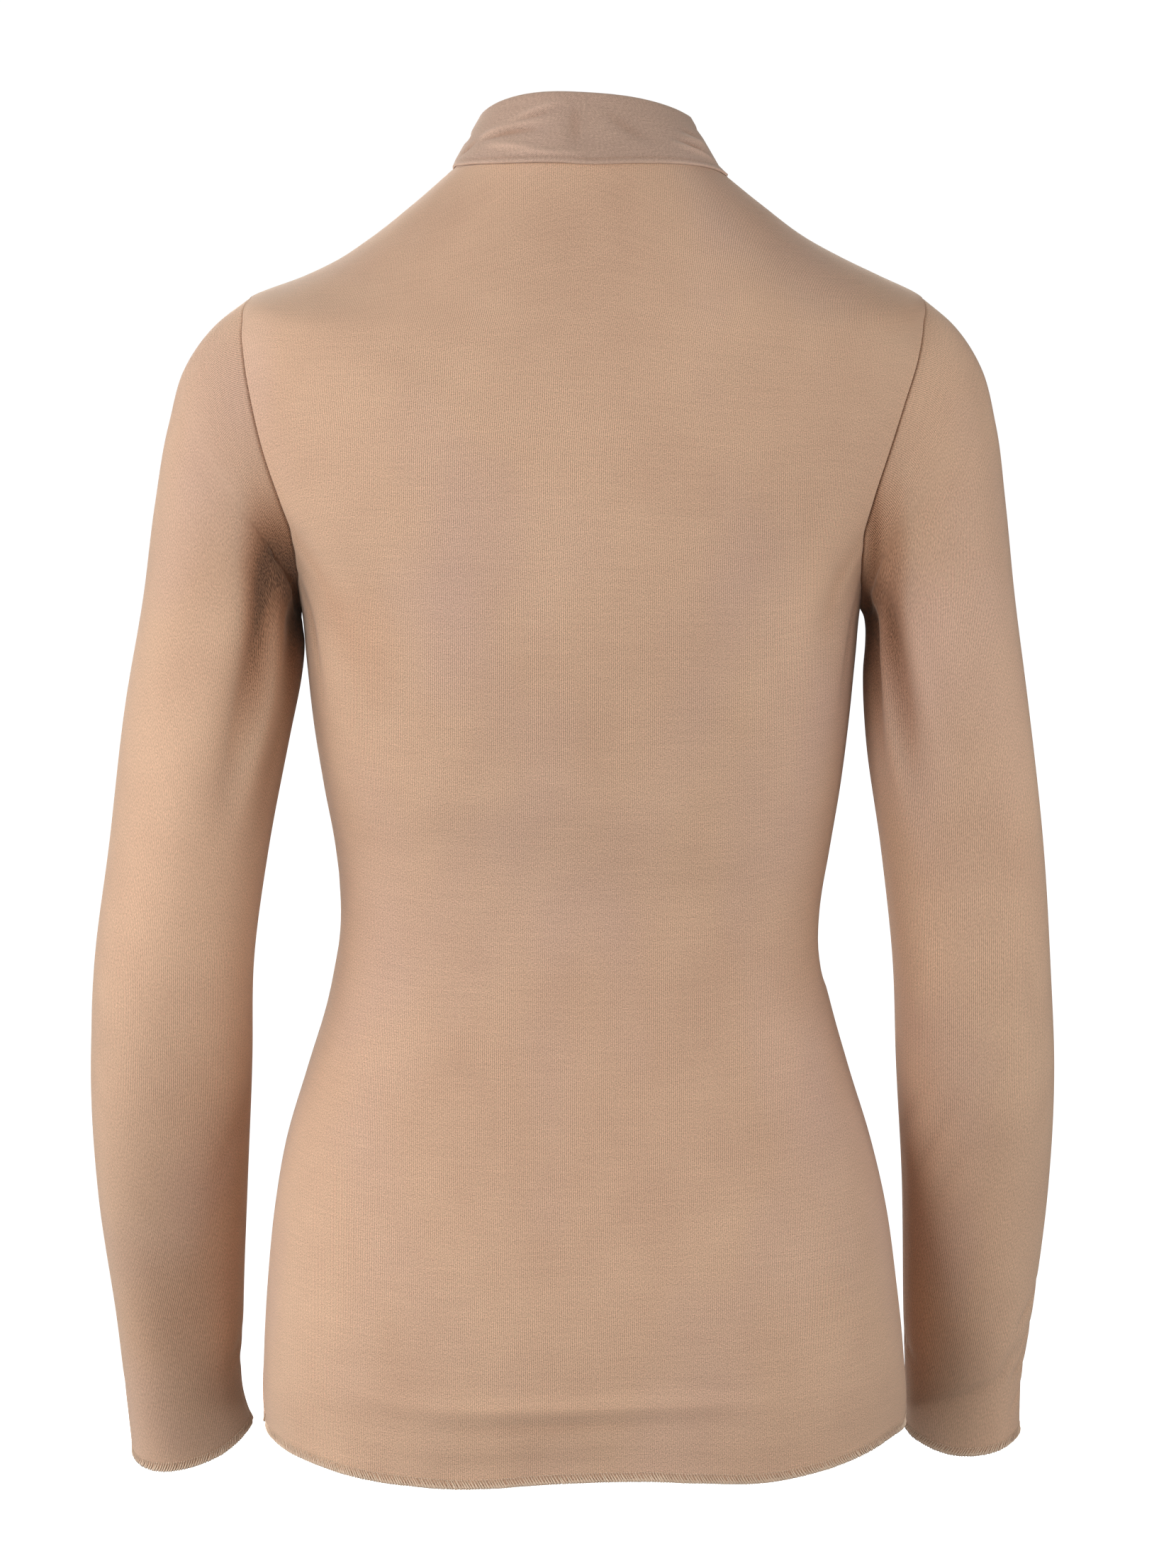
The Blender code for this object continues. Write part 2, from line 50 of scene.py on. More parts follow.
# What all five pieces share
cloth = {
    "thickness": 0.0009,
    "seamReach": 0.0042,        # how far from a seam its normals are shared by both pieces
    "rollWidth": 0.0007,        # the edge rolls in over this distance
    "rollDepth": 0.0009,
    "allowanceLift": 0.00018,   # the seam allowance under one side lifts the cloth a little
    "allowanceRise": 0.00154,   # the lift is whole at this distance from the seam
    "allowanceEnd": 0.0042,     # it begins to fall here
    "allowanceFall": 0.0028,    # and falls over this distance
    "paintedCreaseLight": 75.0,           # painted shade in troughs and painted highlight on ridges, per metre of crease depth
    "foldDarkest": 0.30,
    "foldPalest": 0.26,
    "darkest": 0.78,            # no place on a sleeve gets darker than this, painted shade and the seam's dark line together
    "seamTone": 0.26,           # the line of an armhole's seam is darker
    "seamLine": 0.0005,
    "paintedStitchShade": 0.15,           # painted shade on the cloth between the stitches of an overlocked edge
    "edgeBand": 0.0046,
    "edgeSoft": 0.0012,
}

# The body, cut into front and back
bodyCut = {
    "hem": -0.630,
    "underarm": -0.220,
    "shoulder": -0.064,
    "neck": 0.0,
    "backScoop": math.radians(31),
    "frontScoop": math.radians(26),
    "scoopPowerTop": 0.7,
    "scoopPowerFoot": 1.15,
    "columns": 196,
    "bodyRows": 118,
    "armholeRows": 76,
    "shoulderRows": 34,
    "crowding": 0.42,           # how much closer the grid is at the edges
    "widths": np.array((
        # height, half width, middle
        (-0.630, 0.1606, -0.0004),
        (-0.614, 0.1618, -0.0004),
        (-0.593, 0.1611, -0.0004),
        (-0.557, 0.1582, 0.0004),
        (-0.521, 0.1539, 0.0011),
        (-0.486, 0.1468, 0.0021),
        (-0.450, 0.1359, 0.0023),
        (-0.414, 0.1257, 0.0018),
        (-0.386, 0.1216, 0.0017),
        (-0.364, 0.1212, 0.0010),
        (-0.343, 0.1236, 0.0000),
        (-0.307, 0.1298, 0.0002),
        (-0.279, 0.1339, 0.0007),
        (-0.243, 0.1377, 0.0009),
        (-0.220, 0.1400, 0.0010),
        (-0.200, 0.1446, 0.0018),
        (-0.187, 0.1492, 0.0024),
        (-0.163, 0.1600, 0.0031),
        (-0.139, 0.1693, 0.0032),
        (-0.112, 0.1748, 0.0023),
        (-0.088, 0.1757, 0.0007),
        (-0.075, 0.1733, 0.0000),
        (-0.064, 0.1676, -0.0018),
        (-0.0536, 0.1438, -0.0048),
        (-0.0464, 0.1286, -0.0048),
        (-0.036, 0.1108, -0.0030),
        (-0.018, 0.0870, -0.0022),
        (0.0, 0.0655, -0.0014),
    )),
    "depths": np.array((
        # height, back, front, drop at the back, drop at the front, fullness
        (-0.630, 0.108, 0.098, 0.0150, 0.008, 0.08),
        (-0.590, 0.114, 0.101, 0.010, 0.006, 0.08),
        (-0.530, 0.112, 0.103, 0.006, 0.004, 0.08),
        (-0.470, 0.095, 0.101, 0.002, 0.002, 0.08),
        (-0.414, 0.080, 0.097, 0.0, 0.0, 0.08),
        (-0.364, 0.076, 0.096, 0.0, 0.0, 0.08),
        (-0.307, 0.085, 0.108, 0.0, 0.001, 0.08),
        (-0.243, 0.095, 0.121, 0.0, 0.004, 0.08),
        (-0.180, 0.098, 0.117, 0.005, 0.014, 0.08),
        (-0.130, 0.0955, 0.105, 0.012, 0.028, 0.08),
        (-0.088, 0.0895, 0.091, 0.018, 0.041, 0.08),
        (-0.064, 0.083, 0.082, 0.019, 0.046, 0.09),
        (-0.036, 0.071, 0.072, 0.012, 0.049, 0.10),
        (0.0, 0.0535, 0.061, -0.001, 0.050, 0.06),
    )),
    # Painted shade on the slopes beside the neck, by this much on the left and on the right
    "paintedSlopeShade": {1: 0.12, -1: 0.24},
    "slopeStart": 0.52,         # angle from the centre, in radians
    "slopeSpan": 0.61,
    "slopeFoot": -0.092,
    "slopeRise": 0.045,
    "neckRoll": 0.7,            # the roll at the neck and the armholes' dark lines are weaker here
    "seamLine": 0.7,
    # Creases: a trough where the depth is positive, a ridge where it is negative. Each also gets painted
    # shade in its trough and a painted highlight on its ridge
    "creases": np.array((
        # angle from centre back, height, lean, half length, half width, depth, bow
        (58, -0.205, 24, 0.064, 0.015, 0.0022, 0.0),
        (67, -0.228, 17, 0.052, 0.0042, 0.0014, 0.05),
        (61, -0.196, 30, 0.040, 0.0050, -0.0010, 0.08),
        (-57, -0.212, -22, 0.060, 0.015, 0.0020, 0.0),
        (-68, -0.236, -14, 0.050, 0.0040, 0.0012, -0.05),
        (-62, -0.200, -28, 0.038, 0.0046, -0.0009, -0.06),
        (128, -0.196, -38, 0.090, 0.016, 0.0034, 0.0),
        (118, -0.222, -30, 0.060, 0.0050, 0.0016, 0.07),
        (134, -0.178, -44, 0.052, 0.0056, -0.0012, 0.05),
        (-126, -0.204, 36, 0.082, 0.016, 0.0030, 0.0),
        (-117, -0.230, 27, 0.056, 0.0048, 0.0015, -0.06),
        (-133, -0.184, 43, 0.050, 0.0056, -0.0011, -0.05),
        (100, -0.372, 74, 0.070, 0.018, 0.0022, 0.0),
        (104, -0.392, 66, 0.048, 0.0060, 0.0010, 0.10),
        (96, -0.350, 82, 0.044, 0.0054, 0.0008, -0.10),
        (-96, -0.386, -76, 0.074, 0.018, 0.0024, 0.0),
        (-101, -0.365, -68, 0.050, 0.0060, 0.0010, -0.08),
        (-93, -0.402, -84, 0.040, 0.0052, 0.0008, 0.10),
        (150, -0.404, 80, 0.062, 0.0090, 0.0009, 0.12),
        (-158, -0.376, -82, 0.058, 0.0080, 0.0008, -0.10),
        (2, -0.5965, 90, 0.150, 0.0036, -0.0013, -0.05),
        (4, -0.6050, 90, 0.150, 0.0052, 0.0012, -0.04),
        (34, -0.6130, 86, 0.060, 0.0022, -0.0003, -0.02),
        (-30, -0.6145, 93, 0.056, 0.0022, -0.0003, -0.02),
        (10, -0.6195, 89, 0.050, 0.0020, 0.0003, 0.02),
        (-22, -0.585, 84, 0.060, 0.0040, 0.0004, 0.04),
        (40, -0.578, 97, 0.050, 0.0040, 0.0004, 0.04),
        (172, -0.590, 86, 0.130, 0.012, 0.0014, 0.03),
        (16, -0.330, 87, 0.110, 0.016, 0.0006, 0.10),
        (-14, -0.352, 92, 0.090, 0.014, 0.0005, 0.10),
        (24, -0.086, 62, 0.060, 0.010, 0.0005, 0.10),
        (-26, -0.082, -60, 0.060, 0.010, 0.0005, -0.10),
        (44, -0.235, 0, 0.075, 0.024, 0.0019, 0.0),
        (-48, -0.222, 0, 0.055, 0.014, -0.0008, 0.0),
        (-45, -0.440, 0, 0.070, 0.022, -0.0007, 0.0),
        (82, -0.320, 0, 0.120, 0.010, -0.0003, 0.0),
        (0, -0.6185, 90, 0.200, 0.009, 0.0006, 0.0),
        (46, -0.6120, 90, 0.060, 0.012, 0.0005, 0.0),
        (-46, -0.6120, 90, 0.060, 0.012, 0.0004, 0.0),
    )),
}


def curveThrough(table, at):
    # Cubic Hermite spline through the rows: each slope is the mean of the chords beside its row
    knots = table[:, 0]
    values = table[:, 1:]
    slopes = np.gradient(values, knots, axis=0)
    span = np.clip(np.searchsorted(knots, at, side="right") - 1, 0, len(knots) - 2)
    width = (knots[span + 1] - knots[span])[..., None]
    share = (at - knots[span])[..., None] / width
    rest = 1 - share
    return ((1 + 2 * share) * rest ** 2 * values[span]
            + share * rest ** 2 * width * slopes[span]
            + share ** 2 * (3 - 2 * share) * values[span + 1]
            - share ** 2 * rest * width * slopes[span + 1])


def smoothStep(value):
    # 3v^2 - 2v^3 between 0 and 1
    value = np.clip(value, 0, 1)
    return value * value * (3 - 2 * value)


def unit(vectors):
    # The same directions with a length of 1
    return vectors / np.linalg.norm(vectors, axis=-1, keepdims=True)


def turnedBy(angle, degrees):
    # Difference of two angles, from minus half a turn to half a turn
    return (angle - math.radians(degrees) + halfTurn) % wholeTurn - halfTurn


def creaseDepth(creases, acrossOf, alongOf):
    # Sum over the creases of depth * cos^2 along the crease * a bell across it. The bow bends
    # the crease into a parabola: it leaves its straight line by bow * run^2 / half length.
    total = 0.0
    for first, second, lean, halfLength, halfWidth, depth, bow in creases:
        across, along = acrossOf(first), alongOf(second)
        slant = math.radians(lean)
        run = across * math.sin(slant) + along * math.cos(slant)
        side = across * math.cos(slant) - along * math.sin(slant)
        side = side - bow * run * run / halfLength
        taper = np.cos(np.clip(run / halfLength, -1, 1) * quarterTurn) ** 2
        total = total + depth * taper * np.exp(-(side / halfWidth) ** 2)
    return total


def outward(surface, first, second, firstStep, secondStep):
    # Unit normal: the cross product of the two tangents, each a central difference
    alongFirst = surface(first + firstStep, second) - surface(first - firstStep, second)
    alongSecond = surface(first, second + secondStep) - surface(first, second - secondStep)
    return unit(np.cross(alongSecond, alongFirst))


def centreShare(angle):
    # 1 at both centres and 0 at the sides: 1 - sin^4
    return 1 - np.sin(angle) ** 4


def bodyForm(angle, height):
    # Two half ellipses for each height, squared a little by the fullness, that sink towards
    # both centres. Angle 0 is centre back and a quarter turn is the wearer's left side.
    halfWidth, middle = np.moveaxis(curveThrough(bodyCut["widths"], height), -1, 0)
    back, front, backDrop, frontDrop, fullness = np.moveaxis(
        curveThrough(bodyCut["depths"], height), -1, 0)
    full = 1 + fullness * np.sin(2 * angle) ** 2
    towardsBack = np.cos(angle)
    atBack = towardsBack > 0
    return np.stack([
        middle + halfWidth * np.sin(angle) * full,
        np.where(atBack, back, front) * towardsBack * full,
        height - np.where(atBack, backDrop, frontDrop) * centreShare(angle),
    ], axis=-1)


def bodyCreases(angle, height):
    # Depth of the creases, with distances round the body taken at its half width
    reach = curveThrough(bodyCut["widths"], height)[..., 0]
    return creaseDepth(bodyCut["creases"], lambda place: turnedBy(angle, place) * reach,
                       lambda place: height - place)


def paintedSlopeShade(angle, height):
    # Painted shade on the slopes: from nothing at 30 degrees from the centre to all of it at 65, and up
    # from the shoulder
    turned = turnedBy(angle, 0)
    away = np.minimum(np.abs(turned), halfTurn - np.abs(turned))
    away = smoothStep((away - bodyCut["slopeStart"]) / bodyCut["slopeSpan"])
    tone = np.where(turned > 0, bodyCut["paintedSlopeShade"][1], bodyCut["paintedSlopeShade"][-1])
    return -tone * away * smoothStep((height - bodyCut["slopeFoot"]) / bodyCut["slopeRise"])


def bodySkin(angle, height):
    # The body form moved inwards along its normal by the depth of its creases
    angle, height = np.broadcast_arrays(angle, height)
    return bodyForm(angle, height) - bodyCreases(angle, height)[..., None] * outward(
        bodyForm, angle, height, angleStep, heightStep)


def scoopShare(turn):
    # How far the armhole is scooped out: |sin| to a power that changes from foot to top
    up = (1 - np.cos(turn)) / 2
    power = bodyCut["scoopPowerFoot"] + (bodyCut["scoopPowerTop"] - bodyCut["scoopPowerFoot"]) * up
    return np.clip(np.abs(np.sin(turn)), 0, 1) ** power


def armhole(side, turn):
    # An oval on the body: turn 0 is the underarm, a quarter the back, a half the shoulder
    middle = (bodyCut["shoulder"] + bodyCut["underarm"]) / 2
    half = (bodyCut["shoulder"] - bodyCut["underarm"]) / 2
    scoop = np.where(np.sin(turn) > 0, bodyCut["backScoop"], -bodyCut["frontScoop"])
    return side * (quarterTurn - scoop * scoopShare(turn)), middle - half * np.cos(turn)


def crowdEnds(count, crowding):
    # Places from 0 to 1, closer together near both ends: a straight line less part of a cubic
    s = np.linspace(-1, 1, count)
    return ((1 + crowding) * s - crowding * s ** 3 + 1) / 2


def arcLength(points, axis):
    # Distance along the grid lines of one direction, from their first point
    steps = np.linalg.norm(np.diff(points, axis=axis), axis=-1)
    start = np.zeros_like(np.take(steps, [0], axis=axis))
    return np.concatenate([start, np.cumsum(steps, axis=axis)], axis=axis)


def seamRoll(distance):
    # How far a cut edge rolls inwards at this distance from its seam
    return cloth["rollDepth"] * np.exp(-(distance / cloth["rollWidth"]) ** 2)


def allowance(distance):
    # The lift over a seam allowance: up just beside the seam, down again at its cut edge
    rise = smoothStep(distance / cloth["allowanceRise"])
    fall = 1 - smoothStep((distance - cloth["allowanceEnd"]) / cloth["allowanceFall"])
    return cloth["allowanceLift"] * rise * fall


def mitred(first, second):
    # The direction shared by two walls at a seam
    return unit(first + second)


def paintedCreaseLight(depth):
    # Painted highlight on a ridge and painted shade in a trough: how much paler and how much darker the
    # cloth is made
    return np.clip(-depth * cloth["paintedCreaseLight"], -cloth["foldDarkest"], cloth["foldPalest"])


def paintedStitchShade(distance):
    # Painted shade between the stitches, at this distance from an overlocked edge: even, then a soft end
    past = (distance - cloth["edgeBand"]) / cloth["edgeSoft"] + 0.5
    return -cloth["paintedStitchShade"] * (1 - smoothStep(past))


def seamTone(distance):
    # The tone of the cloth at this distance from an armhole's seam: a bell
    return -cloth["seamTone"] * np.exp(-(distance / cloth["seamLine"]) ** 2)


def addMesh(name, points, faces, uv=None, smooth=True, paintedLightAndSeam=None):
    # Faces come as an array, or as a list where they have unlike numbers of corners
    if isinstance(faces, np.ndarray):
        faces = faces.tolist()
    mesh = bpy.data.meshes.new(name)
    mesh.from_pydata(np.asarray(points, float).reshape(-1, 3), [], faces)
    # The painted light and the seams' dark lines, as a tone that the material reads
    if paintedLightAndSeam is not None:
        tones = mesh.attributes.new("paintedLightAndSeam", "FLOAT", "POINT")
        tones.data.foreach_set("value", np.asarray(paintedLightAndSeam, np.float32).ravel())
    if uv is not None:
        corners = np.empty(len(mesh.loops), np.int64)
        mesh.loops.foreach_get("vertex_index", corners)
        layer = mesh.uv_layers.new(name="cut")
        layer.data.foreach_set("uv", np.asarray(uv, float).reshape(-1, 2)[corners].ravel())
    if smooth:
        mesh.shade_smooth()
    mesh.update()
    piece = bpy.data.objects.new(name, mesh)
    bpy.context.scene.collection.objects.link(piece)
    return piece


def gridFaces(rows, columns, wrapColumns=False, wrapRows=False):
    # One face for each four neighbours of a grid, which may close on itself either way
    index = np.arange(rows * columns).reshape(rows, columns)
    if wrapRows:
        index = np.concatenate([index, index[:1]], axis=0)
    if wrapColumns:
        index = np.concatenate([index, index[:, :1]], axis=1)
    return np.stack([index[:-1, :-1], index[:-1, 1:], index[1:, 1:], index[1:, :-1]],
                    axis=-1).reshape(-1, 4)


def shell(name, outer, normals, uv, paintedLightAndSeam, wrapColumns=False, flip=False):
    # Closed cloth: the outer skin, the same skin moved in by the thickness, and a rim between
    rows, columns = outer.shape[:2]
    count = rows * columns
    inner = outer - cloth["thickness"] * normals
    faces = gridFaces(rows, columns, wrapColumns)
    index = np.arange(count).reshape(rows, columns)
    if wrapColumns:
        loops = [index[0], index[-1][::-1]]
    else:
        loops = [np.concatenate([index[0, :-1], index[:-1, -1], index[-1, :0:-1], index[:0:-1, 0]])]
    rims = [np.stack([loop, loop + count, np.roll(loop, -1) + count, np.roll(loop, -1)], axis=-1)
            for loop in loops]
    every = np.concatenate([faces, faces[:, ::-1] + count] + rims)
    if flip:
        every = every[:, ::-1]
    return addMesh(name, np.concatenate([outer.reshape(-1, 3), inner.reshape(-1, 3)]), every,
                   np.concatenate([uv.reshape(-1, 2), uv.reshape(-1, 2)]),
                   paintedLightAndSeam=np.concatenate([paintedLightAndSeam.ravel(), paintedLightAndSeam.ravel()]))


# Front and back
hemEdge = {
    "waveHeight": 0.0005,       # how far the cut edge rises and falls
    "waveOut": 0.0012,          # how far it stands in and out
    "waveFade": 0.022,
    "frontPhase": 0.31,         # the front's waves start elsewhere than the back's
    "heightPhase": 0.017,
    "rollStart": 0.006,         # the side seams' rolls begin over this height
    "waves": np.array((
        # wave length, share, start
        (0.171, 1.0, 0.4),
        (0.083, 0.55, 2.1),
        (0.039, 0.22, 4.4),
    )),
    "lineFade": 0.055,
    # How much lower than its form the edge hangs: degrees from the panel's middle, metres
    "backLine": np.array((
        (-90, 0.0), (-80, -0.0006), (-68, -0.0016), (-58, -0.0019), (-50, -0.0010), (-43, 0.0004),
        (-36, 0.0017), (-29, 0.0013), (-22, -0.0006), (-15, -0.0014), (-6, -0.0008), (2, 0.0001),
        (9, 0.0010), (16, 0.0030), (22, 0.0037), (30, 0.0026), (38, 0.0012), (47, 0.0003),
        (62, 0.0004), (75, 0.0002), (90, 0.0),
    )),
    "frontLine": np.array((
        (-90, 0.0), (-66, 0.0014), (-38, 0.0030), (-12, 0.0008), (16, 0.0026), (44, 0.0016),
        (70, 0.0024), (90, 0.0),
    )),
}


def edgeWave(along, waves):
    # Sum of sine waves along a cut edge
    total = 0.0
    for length, share, start in waves:
        total = total + share * np.sin(wholeTurn * along / length + start)
    return total


def panelGrid(middle, scoop):
    # Angles and heights: rows are even at the panel's middle and end on the armhole's curve
    turns = np.linspace(0, halfTurn, bodyCut["armholeRows"] + 1)
    low = bodyCut["hem"] + (bodyCut["underarm"] - bodyCut["hem"]) * crowdEnds(
        bodyCut["bodyRows"] + 1, bodyCut["crowding"])[:-1]
    high = bodyCut["shoulder"] + (bodyCut["neck"] - bodyCut["shoulder"]) * crowdEnds(
        bodyCut["shoulderRows"] + 1, bodyCut["crowding"])[1:]
    atEdge = armhole(1, turns)[1]
    between = np.linspace(bodyCut["underarm"], bodyCut["shoulder"], len(turns))
    even = np.concatenate([low, between, high])
    edge = np.concatenate([low, atEdge, high])
    cut = np.concatenate([np.zeros(len(low)), scoopShare(turns), np.zeros(len(high))])
    across = 2 * crowdEnds(bodyCut["columns"] + 1, bodyCut["crowding"])[None, :] - 1
    angle = middle + (quarterTurn - scoop * cut)[:, None] * across
    return angle, even[:, None] + (edge - even)[:, None] * across ** 2


def edgeSheet(points, normals):
    # What the threads at a cut edge are laid on: rows from the edge up, and their distances
    around = arcLength(points[:1], 1)[0]
    up = arcLength(points, 0).mean(axis=1)
    return points, normals, around, up


def readSheet(sheet, place, rise):
    # Points and normals at a place along the edge and a distance above it, linear between the
    # grid's points. Below the edge the cloth's last rows are carried on in a straight line.
    points, normals, around, up = sheet
    column = np.clip(np.interp(place, around, np.arange(len(around))), 0, len(around) - 1.001)
    row = np.interp(rise, up, np.arange(len(up)))
    left, low = column.astype(int), row.astype(int)
    acrossShare, upShare = (column - left)[..., None], (row - low)[..., None]

    def mix(grid):
        lower = grid[low, left] * (1 - acrossShare) + grid[low, left + 1] * acrossShare
        upper = grid[low + 1, left] * (1 - acrossShare) + grid[low + 1, left + 1] * acrossShare
        return lower * (1 - upShare) + upper * upShare

    down = unit(points[0, left] - points[3, left])
    return mix(points) + down * np.maximum(-rise, 0)[..., None], unit(mix(normals))


def makePanel(name, middle, scoop, line, sleeveNormals, collarNormals):
    angle, height = panelGrid(middle, scoop)
    skin = bodySkin(angle, height)
    normals = outward(bodySkin, angle, height, angleStep, heightStep)
    across = arcLength(skin, 1)
    fromSide = np.minimum(across, across[:, -1:] - across)
    along = arcLength(skin, 0)
    fromNeck = along[-1:] - along

    # Near a seam the panel takes the direction that it shares with the piece sewn to it
    turns = np.linspace(0, halfTurn, bodyCut["armholeRows"] + 1)
    over = turns if middle == 0 else wholeTurn - turns
    rows = slice(bodyCut["bodyRows"], bodyCut["bodyRows"] + len(turns))
    for column, half in ((0, slice(0, skin.shape[1] // 2)), (-1, slice(skin.shape[1] // 2, None))):
        side = 1 if skin[bodyCut["bodyRows"], column, 0] > 0 else -1
        shared = mitred(normals[rows, column], sleeveNormals(side, over))[:, None]
        pull = np.exp(-(fromSide[rows, half] / cloth["seamReach"]) ** 2)[..., None]
        normals[rows, half] = unit(normals[rows, half] * (1 - pull) + shared * pull)
    shared = mitred(normals[-1], collarNormals(angle[-1]))[None]
    pull = np.exp(-(fromNeck / cloth["seamReach"]) ** 2)[..., None]
    normals = unit(normals * (1 - pull) + shared * pull)

    # Seam rolls at the sides and the neck, and the waves of the hem's edge
    atBody = smoothStep((height - bodyCut["hem"]) / hemEdge["rollStart"])
    inwards = (seamRoll(fromSide) - allowance(fromSide)) * atBody
    inwards = inwards + bodyCut["neckRoll"] * seamRoll(fromNeck)
    fade = np.exp(-(along / hemEdge["waveFade"]) ** 2)
    place = across - across[:, -1:] / 2 + (hemEdge["frontPhase"] if middle else 0.0)
    inwards = inwards + hemEdge["waveOut"] * fade * edgeWave(place, hemEdge["waves"])
    skin = skin - inwards[..., None] * normals
    rise = edgeWave(place + hemEdge["heightPhase"], hemEdge["waves"])
    skin[..., 2] += hemEdge["waveHeight"] * fade * rise
    lower = curveThrough(line, np.degrees(angle - middle))[..., 0]
    skin[..., 2] -= lower * np.exp(-(along / hemEdge["lineFade"]) ** 2)
    uv = np.stack([across - across[:, -1:] / 2, along], axis=-1)
    # Painted light of the creases, painted shade between the hem's stitches and on the neck's slopes, and
    # the armhole seam's dark line
    paintedLightAndSeam = paintedCreaseLight(bodyCreases(angle, height)) + paintedStitchShade(along) + paintedSlopeShade(angle, height)
    atArmhole = (height > bodyCut["underarm"]) & (height < bodyCut["shoulder"])
    paintedLightAndSeam = paintedLightAndSeam + bodyCut["seamLine"] * seamTone(fromSide) * atArmhole
    return shell(name, skin, normals, uv, paintedLightAndSeam, flip=True), edgeSheet(skin, normals)


# Sleeves
sleeveCut = {
    "rings": 214,
    "columns": 150,
    "crowding": 0.5,
    "capBlend": 0.16,
    "fullness": 0.03,
    "seamTurn": {1: 6.0, -1: 5.0},      # where the underarm seam lies, in degrees of turn
    "seamRoll": 0.55,           # its roll is weaker and wider than the others
    "seamSpread": 0.9,
    "seamLift": 1.2,
    "creaseStart": 0.056,       # creases begin over this share of the length
    "waveShare": 0.6,           # the cuff waves less than the hem does
    "waveStep": 0.118,
    "lineFade": 0.030,
    # How much lower than its form the cuff hangs: degrees of turn, metres
    "lines": {
        1: np.array(((0, -0.0010), (30, -0.0022), (70, 0.0010), (115, 0.0024), (160, 0.0006),
                     (230, -0.0010), (300, 0.0010), (360, -0.0010))),
        -1: np.array(((0, 0.0), (40, 0.0), (85, 0.0018), (120, 0.0), (155, -0.0032), (180, -0.0026),
                      (240, 0.0010), (300, -0.0010), (360, 0.0))),
    },
    # Painted shade in the folds under the arm
    "armpitShade": {
        # distance from the middle, height, half width, half height, tone
        1: ((0.1430, -0.2010, 0.0100, 0.028, -0.54), (0.1620, -0.2150, 0.0070, 0.050, -0.36),
            (0.1535, -0.1930, 0.0090, 0.028, -0.46), (0.1410, -0.2480, 0.0070, 0.045, -0.42),
            (0.1560, -0.3000, 0.0100, 0.060, -0.14)),
        -1: ((0.1440, -0.1850, 0.0045, 0.034, -0.46), (0.1530, -0.2080, 0.0075, 0.050, -0.42),
             (0.1420, -0.2450, 0.0060, 0.040, -0.32)),
    },
    "waleSlant": 0.8,           # the ribs lean towards the armhole's seam, near it
    "waleReach": 0.012,
    1: np.array((
        # inner x, inner z, outer x, outer z, middle y, back, front
        (0.1410, -0.2200, 0.1680, -0.0640, 0.000, 0.048, 0.048),
        (0.1412, -0.2212, 0.1862, -0.0784, 0.000, 0.047, 0.048),
        (0.1410, -0.2240, 0.2008, -0.1000, 0.000, 0.047, 0.048),
        (0.1404, -0.2290, 0.2086, -0.1286, 0.001, 0.048, 0.048),
        (0.1396, -0.2375, 0.2145, -0.1660, 0.002, 0.049, 0.048),
        (0.1411, -0.2540, 0.2200, -0.2120, 0.004, 0.049, 0.048),
        (0.1475, -0.2860, 0.2290, -0.2650, 0.005, 0.048, 0.047),
        (0.1583, -0.3430, 0.2377, -0.3380, 0.006, 0.045, 0.045),
        (0.1655, -0.3960, 0.2455, -0.3960, 0.003, 0.043, 0.043),
        (0.1672, -0.4490, 0.2487, -0.4520, -0.009, 0.041, 0.041),
        (0.1710, -0.5120, 0.2474, -0.5170, -0.033, 0.038, 0.037),
        (0.1750, -0.5800, 0.2408, -0.5860, -0.062, 0.033, 0.032),
        (0.1763, -0.6260, 0.2364, -0.6330, -0.079, 0.030, 0.029),
        (0.1716, -0.6440, 0.2330, -0.6600, -0.087, 0.030, 0.029),
    )),
    -1: np.array((
        # inner x, inner z, outer x, outer z, middle y, back, front
        (0.1390, -0.2200, 0.1700, -0.0640, 0.000, 0.048, 0.048),
        (0.1399, -0.2212, 0.1866, -0.0784, 0.000, 0.047, 0.048),
        (0.1412, -0.2240, 0.2003, -0.1000, 0.000, 0.047, 0.048),
        (0.1420, -0.2290, 0.2075, -0.1286, 0.001, 0.048, 0.048),
        (0.1420, -0.2370, 0.2118, -0.1640, 0.002, 0.049, 0.048),
        (0.1408, -0.2540, 0.2165, -0.2140, 0.004, 0.049, 0.048),
        (0.1424, -0.2860, 0.2232, -0.2690, 0.005, 0.048, 0.047),
        (0.1503, -0.3430, 0.2309, -0.3400, 0.006, 0.045, 0.045),
        (0.1561, -0.3960, 0.2350, -0.3960, 0.003, 0.043, 0.043),
        (0.1586, -0.4490, 0.2384, -0.4500, -0.009, 0.041, 0.041),
        (0.1630, -0.5120, 0.2376, -0.5130, -0.033, 0.037, 0.037),
        (0.1652, -0.5800, 0.2314, -0.5800, -0.056, 0.033, 0.032),
        (0.1668, -0.6220, 0.2262, -0.6240, -0.070, 0.030, 0.029),
        (0.1668, -0.6440, 0.2252, -0.6500, -0.077, 0.029, 0.028),
    )),
}
